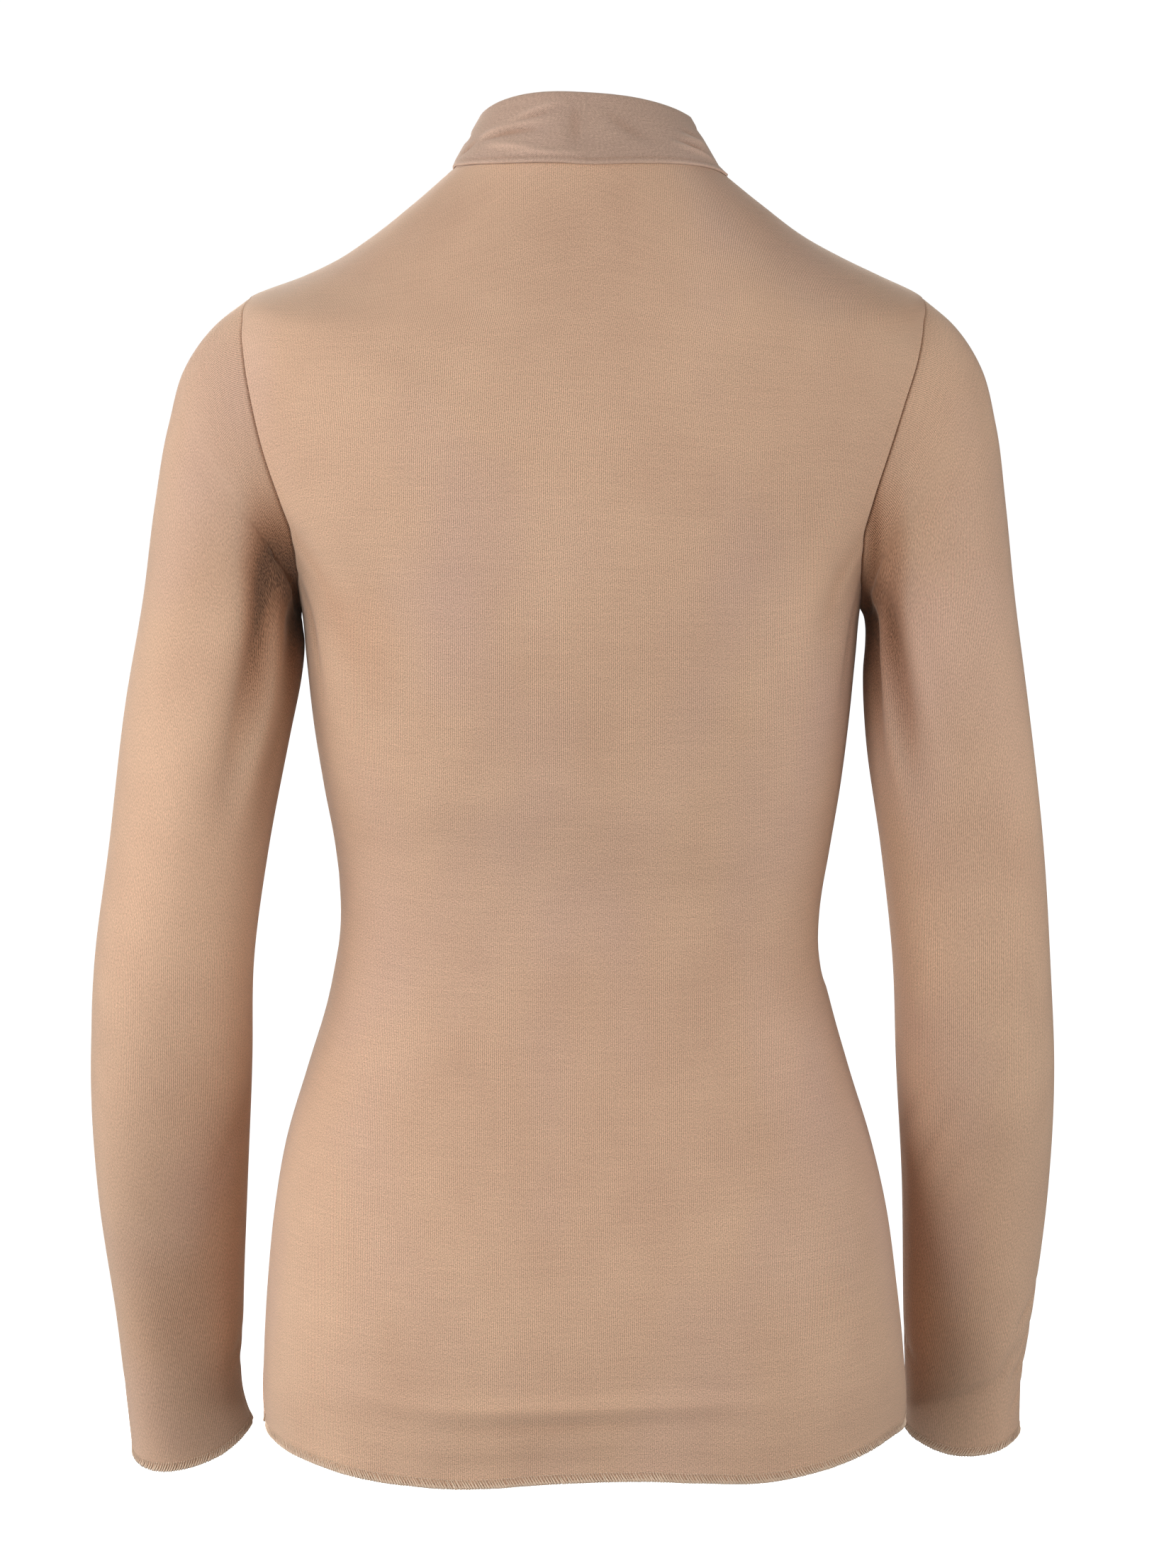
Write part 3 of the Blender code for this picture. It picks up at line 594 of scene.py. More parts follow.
# Each crease also gets painted shade in its trough and a painted highlight on its ridge
sleeveCreases = {
    1: np.array((
        # turn, share of length, lean, half length, half width, depth, bow
        (28, 0.110, 8, 0.080, 0.0120, 0.0048, 0.0),
        (64, 0.185, 1, 0.120, 0.0080, 0.0046, 0.02),
        (46, 0.250, 4, 0.080, 0.0060, -0.0018, 0.02),
        (30, 0.270, 5, 0.090, 0.0060, 0.0010, -0.02),
        (84, 0.215, 4, 0.080, 0.013, -0.0010, 0.0),
        (96, 0.390, 0, 0.150, 0.028, -0.0024, 0.0),
        (114, 0.840, 0, 0.110, 0.032, 0.0018, 0.0),
        (48, 0.680, 0, 0.090, 0.014, 0.0014, 0.0),
        (318, 0.175, -8, 0.070, 0.013, 0.0036, 0.0),
        (330, 0.150, -3, 0.060, 0.0046, 0.0020, -0.05),
        (302, 0.190, -12, 0.064, 0.0060, -0.0013, 0.04),
        (292, 0.560, 76, 0.036, 0.013, 0.0026, 0.0),
        (286, 0.585, 70, 0.030, 0.0045, 0.0013, 0.10),
        (262, 0.635, 84, 0.040, 0.013, 0.0028, 0.0),
        (270, 0.612, 88, 0.034, 0.0048, -0.0012, 0.08),
        (256, 0.655, 80, 0.032, 0.0046, 0.0012, -0.08),
        (30, 0.640, 30, 0.042, 0.0060, 0.0008, 0.05),
        (150, 0.560, 84, 0.030, 0.0120, 0.0006, 0.05),
        (22, 0.900, 66, 0.020, 0.0040, 0.0010, 0.10),
        (344, 0.925, -64, 0.022, 0.0042, 0.0011, -0.10),
        (196, 0.935, 80, 0.020, 0.0046, 0.0007, 0.06),
    )),
    -1: np.array((
        # turn, share of length, lean, half length, half width, depth, bow
        (27, 0.140, 4, 0.110, 0.0100, 0.0062, 0.0),
        (40, 0.200, 4, 0.110, 0.0055, -0.0026, 0.02),
        (54, 0.190, 5, 0.095, 0.0085, 0.0046, -0.02),
        (70, 0.190, 8, 0.080, 0.0070, -0.0016, -0.03),
        (88, 0.180, 8, 0.060, 0.014, -0.0014, 0.0),
        (146, 0.330, 0, 0.150, 0.020, -0.0018, 0.0),
        (316, 0.170, -10, 0.066, 0.013, 0.0036, 0.0),
        (328, 0.150, -4, 0.056, 0.0046, 0.0020, 0.05),
        (300, 0.186, -14, 0.060, 0.0060, -0.0013, -0.04),
        (288, 0.575, 80, 0.038, 0.013, 0.0028, 0.0),
        (282, 0.598, 74, 0.030, 0.0046, 0.0013, -0.10),
        (264, 0.650, 74, 0.036, 0.013, 0.0024, 0.0),
        (270, 0.624, 82, 0.032, 0.0048, -0.0012, -0.08),
        (40, 0.620, -34, 0.034, 0.0034, 0.0009, 0.05),
        (54, 0.655, -30, 0.040, 0.0036, 0.0010, 0.06),
        (66, 0.690, -26, 0.032, 0.0034, 0.0007, 0.05),
        (132, 0.520, 6, 0.040, 0.0050, 0.0006, 0.02),
        (152, 0.850, -48, 0.024, 0.0030, 0.0018, 0.10),
        (160, 0.885, -56, 0.022, 0.0028, 0.0020, 0.08),
        (150, 0.915, -42, 0.018, 0.0026, 0.0014, -0.08),
        (166, 0.925, -64, 0.018, 0.0026, 0.0019, 0.05),
        (158, 0.955, -58, 0.016, 0.0026, 0.0016, 0.05),
        (130, 0.900, -30, 0.022, 0.0036, 0.0009, 0.06),
        (96, 0.930, -66, 0.030, 0.0030, 0.0008, 0.06),
        (20, 0.905, 60, 0.020, 0.0040, 0.0010, 0.10),
    )),
}


def sleeveSections(side):
    # The sleeve's table with each section's share of the length put in front
    table = sleeveCut[side]
    middles = np.stack([(table[:, 0] + table[:, 2]) / 2, table[:, 4],
                        (table[:, 1] + table[:, 3]) / 2], axis=-1)
    steps = np.linalg.norm(np.diff(middles, axis=0), axis=1)
    shares = np.concatenate([[0], np.cumsum(steps)]) / steps.sum()
    return np.column_stack([shares, table]), steps.sum()


def sleeveRound(side, turn, share):
    # Plain tube: middle - cos(turn) * half spread + depth * sin(turn) * the section's back
    table, _ = sleeveSections(side)

    def middleOf(at):
        read = curveThrough(table, at)
        return np.stack([(read[..., 0] + read[..., 2]) / 2, read[..., 4],
                         (read[..., 1] + read[..., 3]) / 2], axis=-1)

    read = curveThrough(table, share)
    spread = np.stack([read[..., 2] - read[..., 0], np.zeros_like(share),
                       read[..., 3] - read[..., 1]], axis=-1) / 2
    backwards = unit(np.cross(middleOf(share + shareStep) - middleOf(share - shareStep), spread))
    backwards = backwards * np.sign(backwards[..., 1:2])
    full = (1 + sleeveCut["fullness"] * np.sin(2 * turn) ** 2)[..., None]
    depth = np.where(np.sin(turn) > 0, read[..., 5], read[..., 6])
    return (middleOf(share) - np.cos(turn)[..., None] * spread * full
            + (depth * np.sin(turn))[..., None] * backwards * full)


def sleeveForm(side, turn, share):
    # The tube, pulled onto the armhole's curve at its start
    turn, share = np.broadcast_arrays(turn, share)
    mirror = np.array([side, 1, 1])
    start = bodySkin(*armhole(side, turn)) * mirror
    pull = 1 - smoothStep(share / sleeveCut["capBlend"])
    return (sleeveRound(side, turn, share)
            + pull[..., None] * (start - sleeveRound(side, turn, share * 0))) * mirror


def sleeveDents(side, turn, share):
    # Depth of the creases, none right at the armhole
    table, length = sleeveSections(side)
    reach = curveThrough(table, share)[..., 5]
    depth = creaseDepth(sleeveCreases[side], lambda place: turnedBy(turn, place) * reach,
                        lambda place: (share - place) * length)
    return depth * smoothStep(share / sleeveCut["creaseStart"])


def sleeveSkin(side, turn, share):
    # The sleeve form moved inwards along its normal by the depth of its creases
    turn, share = np.broadcast_arrays(turn, share)
    depth = sleeveDents(side, turn, share)
    form = lambda a, b: sleeveForm(side, a, b)
    away = side * outward(form, turn, share, angleStep, shareStep)
    return form(turn, share) + depth[..., None] * away


def sleeveEdgeNormals(side, turn):
    # The directions out of the sleeve's cloth along the armhole
    form = lambda a, b: sleeveForm(side, a, b)
    return -side * outward(form, turn, np.full(turn.shape, shareStep), angleStep, shareStep)


def paintedArmpitShade(side, skin):
    # Painted shade under one arm: the sum of the patches, each tone * a bell across it * a bell along its
    # height
    out, height = side * skin[..., 0], skin[..., 2]
    return sum(tone * np.exp(-((out - across) / width) ** 2 - ((height - level) / reach) ** 2)
               for across, level, width, reach, tone in sleeveCut["armpitShade"][side])


def makeSleeve(name, side):
    turn = np.linspace(0, wholeTurn, sleeveCut["columns"] + 1)[None, :-1]
    share = crowdEnds(sleeveCut["rings"] + 1, sleeveCut["crowding"])[:, None]
    turn, share = np.broadcast_arrays(turn, share)
    surface = lambda a, b: sleeveSkin(side, a, b)
    skin = surface(turn, share)
    normals = -side * outward(surface, turn, np.maximum(share, shareStep), angleStep, shareStep)
    along = arcLength(skin, 0)
    fromCuff = along[-1:] - along
    shared = mitred(normals[:1], outward(bodySkin, *armhole(side, turn[:1]), angleStep, heightStep))
    pull = np.exp(-(along / cloth["seamReach"]) ** 2)[..., None]
    normals = unit(normals * (1 - pull) + shared * pull)

    closed = np.concatenate([skin, skin[:, :1]], axis=1)
    around = arcLength(closed, 1)
    outer = sleeveCut["columns"] // 2
    fromOuter = (around - around[:, outer:outer + 1])[:, :-1]
    reach = around[:, -1:] / wholeTurn
    fromSeam = np.abs(turnedBy(turn, sleeveCut["seamTurn"][side])) * reach
    inwards = seamRoll(along) + sleeveCut["seamRoll"] * seamRoll(fromSeam * sleeveCut["seamSpread"])
    inwards = inwards - sleeveCut["seamLift"] * allowance(fromSeam)
    fade = np.exp(-(fromCuff / hemEdge["waveFade"]) ** 2)
    steps = np.round(around[:, -1:] / sleeveCut["waveStep"])
    place = sleeveCut["waveStep"] * steps * turn / wholeTurn
    inwards = inwards + sleeveCut["waveShare"] * hemEdge["waveOut"] * fade * edgeWave(
        place, hemEdge["waves"][:2])
    skin = skin - inwards[..., None] * normals
    lower = curveThrough(sleeveCut["lines"][side], np.degrees(turn))[..., 0]
    skin[..., 2] -= lower * np.exp(-(fromCuff / sleeveCut["lineFade"]) ** 2)
    slant = sleeveCut["waleSlant"] * sleeveCut["waleReach"] * np.exp(-along / sleeveCut["waleReach"])
    uv = np.stack([fromOuter + slant, along], axis=-1)
    edge = edgeSheet(np.concatenate([skin, skin[:, :1]], axis=1)[::-1],
                     np.concatenate([normals, normals[:, :1]], axis=1)[::-1])
    # Painted light of the creases, painted shade under the arm and between the cuff's stitches, and the
    # seam's dark line
    paintedLightAndSeam = paintedCreaseLight(sleeveDents(side, turn, share)) + paintedArmpitShade(side, skin) + paintedStitchShade(fromCuff)
    paintedLightAndSeam = np.maximum(paintedLightAndSeam + seamTone(along), -cloth["darkest"])
    return shell(name, skin, normals, uv, paintedLightAndSeam, wrapColumns=True, flip=side < 0), edge


# Collar: a band folded over at the top, its outer layer hanging down to the neck seam
collarCut = {
    "sideRise": 0.0245,
    "backRise": 0.0334,
    "frontRise": -0.011,
    "rimPower": 2.8,
    "tilt": 0.0014,
    "halfWidth": 0.0514,
    "backDepth": 0.041,
    "frontDepth": 0.053,
    "fullness": 0.03,
    "slot": 0.0006,
    # How far the outer layer hangs past the neck seam: degrees from centre back, metres
    "overhang": np.array((
        (-180, 0.0015), (-135, 0.0020), (-104, 0.0036), (-88, 0.0040), (-72, 0.0026), (-52, 0.0010),
        (-20, 0.0008), (0, 0.0013), (8, 0.0008), (40, 0.0006), (62, 0.0002), (82, -0.0004),
        (100, 0.0004), (135, 0.0018), (180, 0.0015),
    )),
    "bend": 0.0024,             # the outer layer bends from the collar to the shoulder over this
    "wall": 0.0012,
    "columns": 360,
    "steps": 44,
    "foldSteps": 8,
    "reach": 0.052,
    "sink": 0.0004,             # the outer layer lies closer to the body at its lower edge
    # The creases' painted shade and painted highlight are this much stronger on the collar
    "creaseTone": 3.0,
    "sinkReach": 0.004,
    "rollHighlightAndShade": 0.16,           # painted highlight on the thin roll of its lower edge, and a painted shade line above it
    "rollPaler": 1.6,
    "rollWidth": 0.0007,
    "rollTop": 0.0017,
    "innerCrease": 0.3,         # the inner layer's creases are this much of the outer layer's
    "hangReach": 0.5,           # the outer layer's own edge line fades over this share of its height
    "faceHeight": 0.03,
    "creases": np.array((
        # angle, height, lean, half length, half width, depth, bow
        (26, 0.0184, -75, 0.018, 0.0014, -0.0012, 0.0),
        (31, 0.0158, -77, 0.022, 0.0014, 0.0011, 0.0),
        (41, 0.0132, -80, 0.026, 0.0016, -0.0014, -0.16),
        (41, 0.0105, -82, 0.026, 0.0015, 0.0013, -0.14),
        (62, 0.0072, -67, 0.012, 0.0012, 0.0011, 0.0),
        (50, 0.0084, -80, 0.016, 0.0012, -0.0006, -0.08),
        (33, 0.0054, 83, 0.018, 0.0014, -0.0012, 0.0),
        (16, 0.0026, 88, 0.018, 0.0011, -0.0011, 0.0),
        (-57, 0.0048, 78, 0.020, 0.0011, -0.0014, 0.0),
        (-58, 0.0074, 80, 0.020, 0.0013, 0.0012, 0.0),
        (-62, 0.0105, 85, 0.017, 0.0015, -0.0011, 0.0),
        (-60, 0.0135, 84, 0.015, 0.0015, 0.0008, 0.0),
        (-16, 0.0160, 62, 0.016, 0.0030, 0.0004, 0.0),
        (84, 0.0140, 84, 0.014, 0.0018, 0.0016, 0.0),
        (-88, 0.0175, 80, 0.012, 0.0018, 0.0015, 0.0),
        (5, 0.0130, 4, 0.014, 0.0040, 0.0006, 0.02),
        (-22, 0.0110, 66, 0.016, 0.0022, 0.0004, 0.02),
        (128, 0.0110, 64, 0.024, 0.0018, 0.0011, 0.03),
        (131, 0.0086, 68, 0.022, 0.0015, -0.0009, 0.03),
        (-126, 0.0120, -60, 0.026, 0.0018, 0.0011, 0.03),
        (-130, 0.0098, -66, 0.022, 0.0015, -0.0009, 0.03),
        (172, 0.0080, 84, 0.030, 0.0022, 0.0008, 0.03),
    )),
}


def collarSkin(angle, share):
    # Straight lines from the neck seam, at share 0, up to the rim, at share 1. Below 0 the
    # surface follows the body.
    angle, share = np.broadcast_arrays(angle, share)
    towardsBack = np.cos(angle)
    atBack = towardsBack > 0
    full = 1 + collarCut["fullness"] * np.sin(2 * angle) ** 2
    rise = np.where(atBack, collarCut["backRise"], collarCut["frontRise"])
    top = np.stack([
        bodyCut["widths"][-1, 2] + collarCut["halfWidth"] * np.sin(angle) * full,
        np.where(atBack, collarCut["backDepth"], collarCut["frontDepth"]) * towardsBack * full,
        collarCut["sideRise"] + collarCut["tilt"] * np.sin(2 * angle)
        + (rise - collarCut["sideRise"]) * (1 - np.abs(np.sin(angle)) ** collarCut["rimPower"]),
    ], axis=-1)
    height = collarCut["sideRise"] - bodyCut["neck"]
    foot = bodySkin(angle, bodyCut["neck"] + np.minimum(share, 0) * height)
    return foot + (top - foot) * np.maximum(share, 0)[..., None]


def collarEdgeNormals(angle):
    # The directions out of the collar's cloth along the neck seam
    return outward(collarSkin, angle, np.full(angle.shape, 2 * shareStep), angleStep, shareStep)


def collarProfile():
    # Outer layer up, half a turn over the fold, inner layer down, and back round the slot
    height = collarCut["sideRise"] - bodyCut["neck"]
    wall, slot = collarCut["wall"], collarCut["slot"]
    whole = 2 * wall + slot
    top = 1 - wall / height
    steps = collarCut["steps"]
    turns = np.linspace(0, halfTurn, collarCut["foldSteps"] + 1)[1:-1]
    share = np.concatenate([
        np.linspace(0, 1, steps), 1 + whole / 2 * np.sin(turns) / height,
        np.linspace(1, 0, steps), np.linspace(0, top, steps // 2),
        np.linspace(top, 0, steps // 2)])
    out = np.concatenate([
        np.full(steps, whole), whole / 2 * (1 + np.cos(turns)), np.zeros(steps),
        np.full(steps // 2, wall), np.full(steps // 2, wall + slot)])
    return share, out - wall


def makeCollar(name):
    angle = np.linspace(0, wholeTurn, collarCut["columns"] + 1)[:-1, None]
    share, out = collarProfile()
    angle, share = np.broadcast_arrays(angle, share[None, :])
    height = collarCut["sideRise"] - bodyCut["neck"]

    # The outer layer's lower edge hangs past the neck seam by another length at each place
    isOuter = (out > 0.4 * collarCut["wall"])[None, :]
    hang = curveThrough(collarCut["overhang"], np.degrees(turnedBy(angle, 0)))[..., 0] / height
    share = share - np.where(isOuter, hang * (1 - smoothStep(share / collarCut["hangReach"])), 0.0)
    onWall = outward(collarSkin, angle, np.clip(share, 2 * shareStep, 1), angleStep, shareStep)
    onBody = outward(collarSkin, angle, np.minimum(share, -2 * shareStep), angleStep, shareStep)
    blend = smoothStep(share * height / collarCut["bend"] + 0.5)[..., None]
    normals = unit(onBody * (1 - blend) + onWall * blend)
    depth = creaseDepth(collarCut["creases"],
                        lambda place: turnedBy(angle, place) * collarCut["reach"],
                        lambda place: share * height - place)
    depth = np.where(isOuter, depth, collarCut["innerCrease"] * depth)
    above = share * height + np.where(isOuter, hang, 0.0) * height
    sink = collarCut["sink"] * (1 - smoothStep(above / collarCut["sinkReach"]))
    sink = np.where(isOuter, sink, 0.0)
    points = collarSkin(angle, share) + (out[None, :] - depth - sink)[..., None] * normals
    around = arcLength(points, 0)
    uv = np.stack([around - around[-1:] / 2, share * collarCut["faceHeight"]], axis=-1)
    # Painted highlight along the roll of the outer layer's lower edge and painted shade just above it,
    # with the creases' painted light
    pale = collarCut["rollPaler"] * np.exp(-(above / collarCut["rollWidth"]) ** 2)
    dark = np.exp(-((above - collarCut["rollTop"]) / collarCut["rollWidth"]) ** 2)
    paintedLightAndSeam = paintedCreaseLight(collarCut["creaseTone"] * depth)
    paintedLightAndSeam = paintedLightAndSeam + np.where(isOuter, collarCut["rollHighlightAndShade"] * (pale - dark), 0.0)
    faces = gridFaces(*points.shape[:2], wrapColumns=True, wrapRows=True)
    return addMesh(name, points, faces[:, ::-1], uv, paintedLightAndSeam=paintedLightAndSeam)


back, backHem = makePanel("back_cloth", 0, bodyCut["backScoop"], hemEdge["backLine"],
                          sleeveEdgeNormals, collarEdgeNormals)
front, frontHem = makePanel("front_cloth", halfTurn, bodyCut["frontScoop"], hemEdge["frontLine"],
                            sleeveEdgeNormals, collarEdgeNormals)
print("panels made:", len(back.data.polygons), len(front.data.polygons))
leftSleeve, leftCuff = makeSleeve("sleeve_left_cloth", 1)
rightSleeve, rightCuff = makeSleeve("sleeve_right_cloth", -1)
print("sleeves made:", len(leftSleeve.data.polygons), len(rightSleeve.data.polygons))
collar = makeCollar("collar_cloth")
print("collar made:", len(collar.data.polygons))


# Overlocked edges: slanted loops over the cloth, a line of needle thread at their tops, and a
# roll of thread that covers the cut edge
overlock = {
    "pitch": 0.00142,
    "top": 0.0042,
    "scallop": 0.00022,
    "jitter": 0.00013,
    "slant": 0.0027,            # how far a loop runs along the edge on its way down
    "slantPower": 1.2,
    "turnOver": 0.72,           # the share of a loop that lies on the cloth, before it goes under
    "below": 0.0007,            # how far it reaches past the cut edge
    "behind": 0.0009,           # how high it ends on the inside
    "rings": 9,
    "sides": 6,
    "threadRadius": 0.00052,    # half the width of a loop, which is two or three flat strands
    "flatness": 0.42,
    "lift": 0.00016,
    "overRoll": 0.00042,        # the loops rise this much more over the roll
    "rollFrom": 0.32,
    "rollOver": 0.3,
    "uneven": 0.25,
    "fatness": 0.12,
    "rollWander": 0.10,
    "rollRound": 0.006,
    "rollUp": 0.004,            # the roll stands up along the cloth, which is read here
    "needleRadius": 0.00021,
    "needleShare": 0.72,
    "rollHigh": 0.00095,
    "rollDeep": 0.00080,
    "rollRise": 0.00055,
    "rollStep": 0.0010,
    "rollSides": 12,
    "seed": 4,
}


def tubes(name, centres, ups, radii, sides, flatness=1.0):
    # Threads: at each ring, centre + radius * (flatness * cos * lift + sin * across)
    count, rings = centres.shape[:2]
    tangents = unit(np.gradient(centres, axis=1))
    across = unit(np.cross(tangents, ups))
    lift = np.cross(across, tangents)
    turn = (wholeTurn * np.arange(sides) / sides)[None, None, :, None]
    points = centres[:, :, None] + radii[..., None, None] * (
        flatness * np.cos(turn) * lift[:, :, None] + np.sin(turn) * across[:, :, None])
    index = np.arange(count * rings * sides).reshape(count, rings, sides)
    following = np.roll(index, -1, axis=2)
    quads = np.stack([index[:, :-1], following[:, :-1], following[:, 1:], index[:, 1:]],
                     axis=-1).reshape(-1, 4)
    caps = np.concatenate([index[:, 0, ::-1], index[:, -1]])
    uv = np.zeros((count, rings, sides, 2))
    uv[..., 0] = np.arange(count)[:, None, None] * 0.01 + arcLength(centres, 1)[:, :, None]
    uv[..., 1] = np.arange(sides) / sides * 0.001
    return addMesh(name, points, quads.tolist() + caps.tolist(), uv)


def loopPaths(sheet, side, chance):
    # Each loop starts at the needle line, slants down over the cloth and goes round its edge
    length = sheet[2][-1]
    count = int(round(length / overlock["pitch"]))
    start = (np.arange(count) + 0.5) / count * length
    start = start + overlock["jitter"] * chance.standard_normal(count)
    top = overlock["top"] + overlock["scallop"] * chance.standard_normal(count)
    s = np.linspace(0, 1, overlock["rings"])[None]
    turned = overlock["turnOver"]
    over = np.clip((s - turned) / (1 - turned), 0, 1)
    rise = top[:, None] * (1 - s / turned) * (s < turned)
    rise = rise - overlock["below"] * np.sin(over * halfTurn) + overlock["behind"] * over
    run = overlock["slant"] * np.minimum(s / turned, 1) ** overlock["slantPower"]
    place = start[:, None] - side * run
    lift = overlock["lift"] * (0.35 + np.sin(np.clip(s * 1.6, 0, 1) * quarterTurn)) * (
        1 + overlock["uneven"] * chance.standard_normal(count))[:, None]
    lift = lift + overlock["overRoll"] * smoothStep((s - overlock["rollFrom"]) / overlock["rollOver"])
    lift = lift * (1 - over) - over * (cloth["thickness"] + overlock["lift"])
    points, normals = readSheet(sheet, np.clip(place, 0, length), rise)
    return points + lift[..., None] * normals, normals


def needlePaths(sheet, chance):
    # Short stitches along the tops of the loops, their ends sunk into the cloth
    length = sheet[2][-1]
    count = int(round(length / overlock["pitch"]))
    start = (np.arange(count) + 0.5) / count * length
    s = np.linspace(-0.5, 0.5, 5)[None]
    place = start[:, None] + overlock["needleShare"] * overlock["pitch"] * s
    rise = overlock["top"] + 0.5 * overlock["scallop"] * chance.standard_normal(count)[:, None] + 0 * s
    points, normals = readSheet(sheet, np.clip(place, 0, length), rise)
    lift = overlock["needleRadius"] * (1.3 - 8 * s ** 2)
    return points + lift[..., None] * normals, normals


def makeOverlock(name, sheets, side, chance):
    # Loops, needle stitches and roll, each a piece of its own
    loops = [loopPaths(sheet, side, chance) for sheet in sheets]
    needles = [needlePaths(sheet, chance) for sheet in sheets]
    centres = np.concatenate([pair[0] for pair in loops])
    ups = np.concatenate([pair[1] for pair in loops])
    fat = 1 + overlock["fatness"] * chance.standard_normal(len(centres))
    taper = np.sin(np.linspace(0.18, 1, centres.shape[1]) * quarterTurn)
    threads = tubes(name + "_loops", centres, ups,
                    overlock["threadRadius"] * fat[:, None] * taper[None], overlock["sides"],
                    overlock["flatness"])
    centres = np.concatenate([pair[0] for pair in needles])
    ups = np.concatenate([pair[1] for pair in needles])
    bulge = np.array([0.6, 0.95, 1.0, 0.95, 0.6])
    stitches = tubes(name + "_needle", centres, ups,
                     overlock["needleRadius"] * np.ones(len(centres))[:, None] * bulge[None], 4)

    # The roll: an oval round the cut edge, in one loop
    spans = []
    for sheet in sheets:
        count = int(sheet[2][-1] / overlock["rollStep"])
        place = np.linspace(0, sheet[2][-1], count + 1)[:-1]
        points, normals = readSheet(sheet, place, np.full(len(place), overlock["rollRise"]))
        above = readSheet(sheet, place, np.full(len(place), overlock["rollUp"]))[0]
        spans.append((points - 0.5 * cloth["thickness"] * normals, normals, unit(above - points)))
    middle, normals, upwards = [np.concatenate(parts) for parts in zip(*spans)]
    turn = (wholeTurn * np.arange(overlock["rollSides"]) / overlock["rollSides"])[None, :, None]
    wander = np.convolve(chance.standard_normal(len(middle) + 8), np.ones(9) / 3, "valid")
    wander = 1 + overlock["rollWander"] * wander
    points = middle[:, None] + wander[:, None, None] * (
        overlock["rollDeep"] * np.cos(turn) * normals[:, None]
        + overlock["rollHigh"] * np.sin(turn) * upwards[:, None])
    rows, columns = points.shape[:2]
    uv = np.stack(np.broadcast_arrays((np.arange(rows) * overlock["rollStep"])[:, None],
                                      np.arange(columns)[None] / columns * overlock["rollRound"]), axis=-1)
    faces = gridFaces(rows, columns, wrapColumns=True, wrapRows=True)
    roll = addMesh(name + "_roll", points, faces[:, ::side], uv)
    return threads, stitches, roll


# Stitches that show as small bars across each armhole seam, sunk less in the middle
seamStitch = {"pitch": 0.00125, "halfLength": 0.00055, "radius": 0.00022, "sunk": 0.00050}


def makeSeamStitches(name, side):
    turn = np.linspace(0, wholeTurn, 1441)
    path = bodySkin(*armhole(side, turn))
    along = arcLength(path, 0)
    count = int(along[-1] / seamStitch["pitch"])
    turn = np.interp((np.arange(count) + 0.5) / count * along[-1], along, turn)
    place = armhole(side, turn)
    middle = bodySkin(*place)
    up = mitred(outward(bodySkin, *place, angleStep, heightStep), sleeveEdgeNormals(side, turn))
    ahead = unit(bodySkin(*armhole(side, turn + angleStep))
                 - bodySkin(*armhole(side, turn - angleStep)))
    across = unit(np.cross(up, ahead))
    s = np.linspace(-1, 1, 5)
    centres = (middle[:, None] + seamStitch["halfLength"] * s[None, :, None] * across[:, None]
               - seamStitch["sunk"] * (0.6 + 0.8 * s[None, :, None] ** 2) * up[:, None])
    ups = np.broadcast_to(up[:, None], centres.shape)
    return tubes(name, centres, ups, np.full(centres.shape[:2], seamStitch["radius"]), 5)


seamThreads = [makeSeamStitches("armhole_left_thread", 1),
               makeSeamStitches("armhole_right_thread", -1)]

chance = np.random.default_rng(overlock["seed"])
hemThreads = makeOverlock("hem_thread", [backHem, frontHem], 1, chance)
leftThreads = makeOverlock("cuff_left_thread", [leftCuff], -1, chance)
rightThreads = makeOverlock("cuff_right_thread", [rightCuff], 1, chance)
print("overlocked edges made:", [len(piece.data.polygons) for piece in hemThreads + leftThreads])


# Materials
def linear(red, green, blue):
    # sRGB from 0 to 255 as linear light, with an alpha of 1
    share = np.array([red, green, blue]) / 255
    return tuple(np.where(share <= 0.04045, share / 12.92, ((share + 0.055) / 1.055) ** 2.4)) + (1.0,)


class Wire:
    # One value of a shader: an expression on it adds the Math nodes that work it out
    def __init__(self, net, socket):
        self.net, self.socket = net, socket

    def maths(self, operation, first, second):
        return self.net.add("ShaderNodeMath", {"operation": operation}, {0: first, 1: second})

    def __add__(self, other):
        return self.maths("ADD", self, other)

    def __sub__(self, other):
        return self.maths("SUBTRACT", self, other)

    def __rsub__(self, other):
        return self.maths("SUBTRACT", other, self)

    def __mul__(self, other):
        return self.maths("MULTIPLY", self, other)

    __radd__ = __add__
    __rmul__ = __mul__


class Net:
    # The nodes of one material
    def __init__(self, name):
        self.material = bpy.data.materials.new(name)
        self.material.use_nodes = True
        self.tree = self.material.node_tree
        self.shader = self.tree.nodes["Principled BSDF"]

    def add(self, kind, settings=None, values=None, output=0):
        node = self.tree.nodes.new(kind)
        for name, value in (settings or {}).items():
            if name == "stops":
                for stop, (place, level) in zip(node.color_ramp.elements, value):
                    stop.position, stop.color = place, (level, level, level, 1)
            else:
                setattr(node, name, value)
        for place, value in (values or {}).items():
            self.join(node.inputs[place], value)
        return Wire(self, node.outputs[output])

    def join(self, socket, value):
        if isinstance(value, Wire):
            self.tree.links.new(value.socket, socket)
        else:
            socket.default_value = value

    def blend(self, share, first, second):
        return self.add("ShaderNodeMix", {"data_type": "RGBA"}, {0: share, 6: first, 7: second}, 2)

    def noise(self, at, scale, detail=2.0, rough=0.5):
        return self.add("ShaderNodeTexNoise", None,
                        {"Vector": at, "Scale": scale, "Detail": detail, "Roughness": rough})

    def stretch(self, at, scale):
        return self.add("ShaderNodeVectorMath", {"operation": "MULTIPLY"}, {0: at, 1: scale})

    def scaled(self, colour, share):
        return self.add("ShaderNodeVectorMath", {"operation": "SCALE"}, {0: colour, "Scale": share})

    def ramp(self, value, stops):
        return self.add("ShaderNodeValToRGB", {"stops": stops}, {0: value})


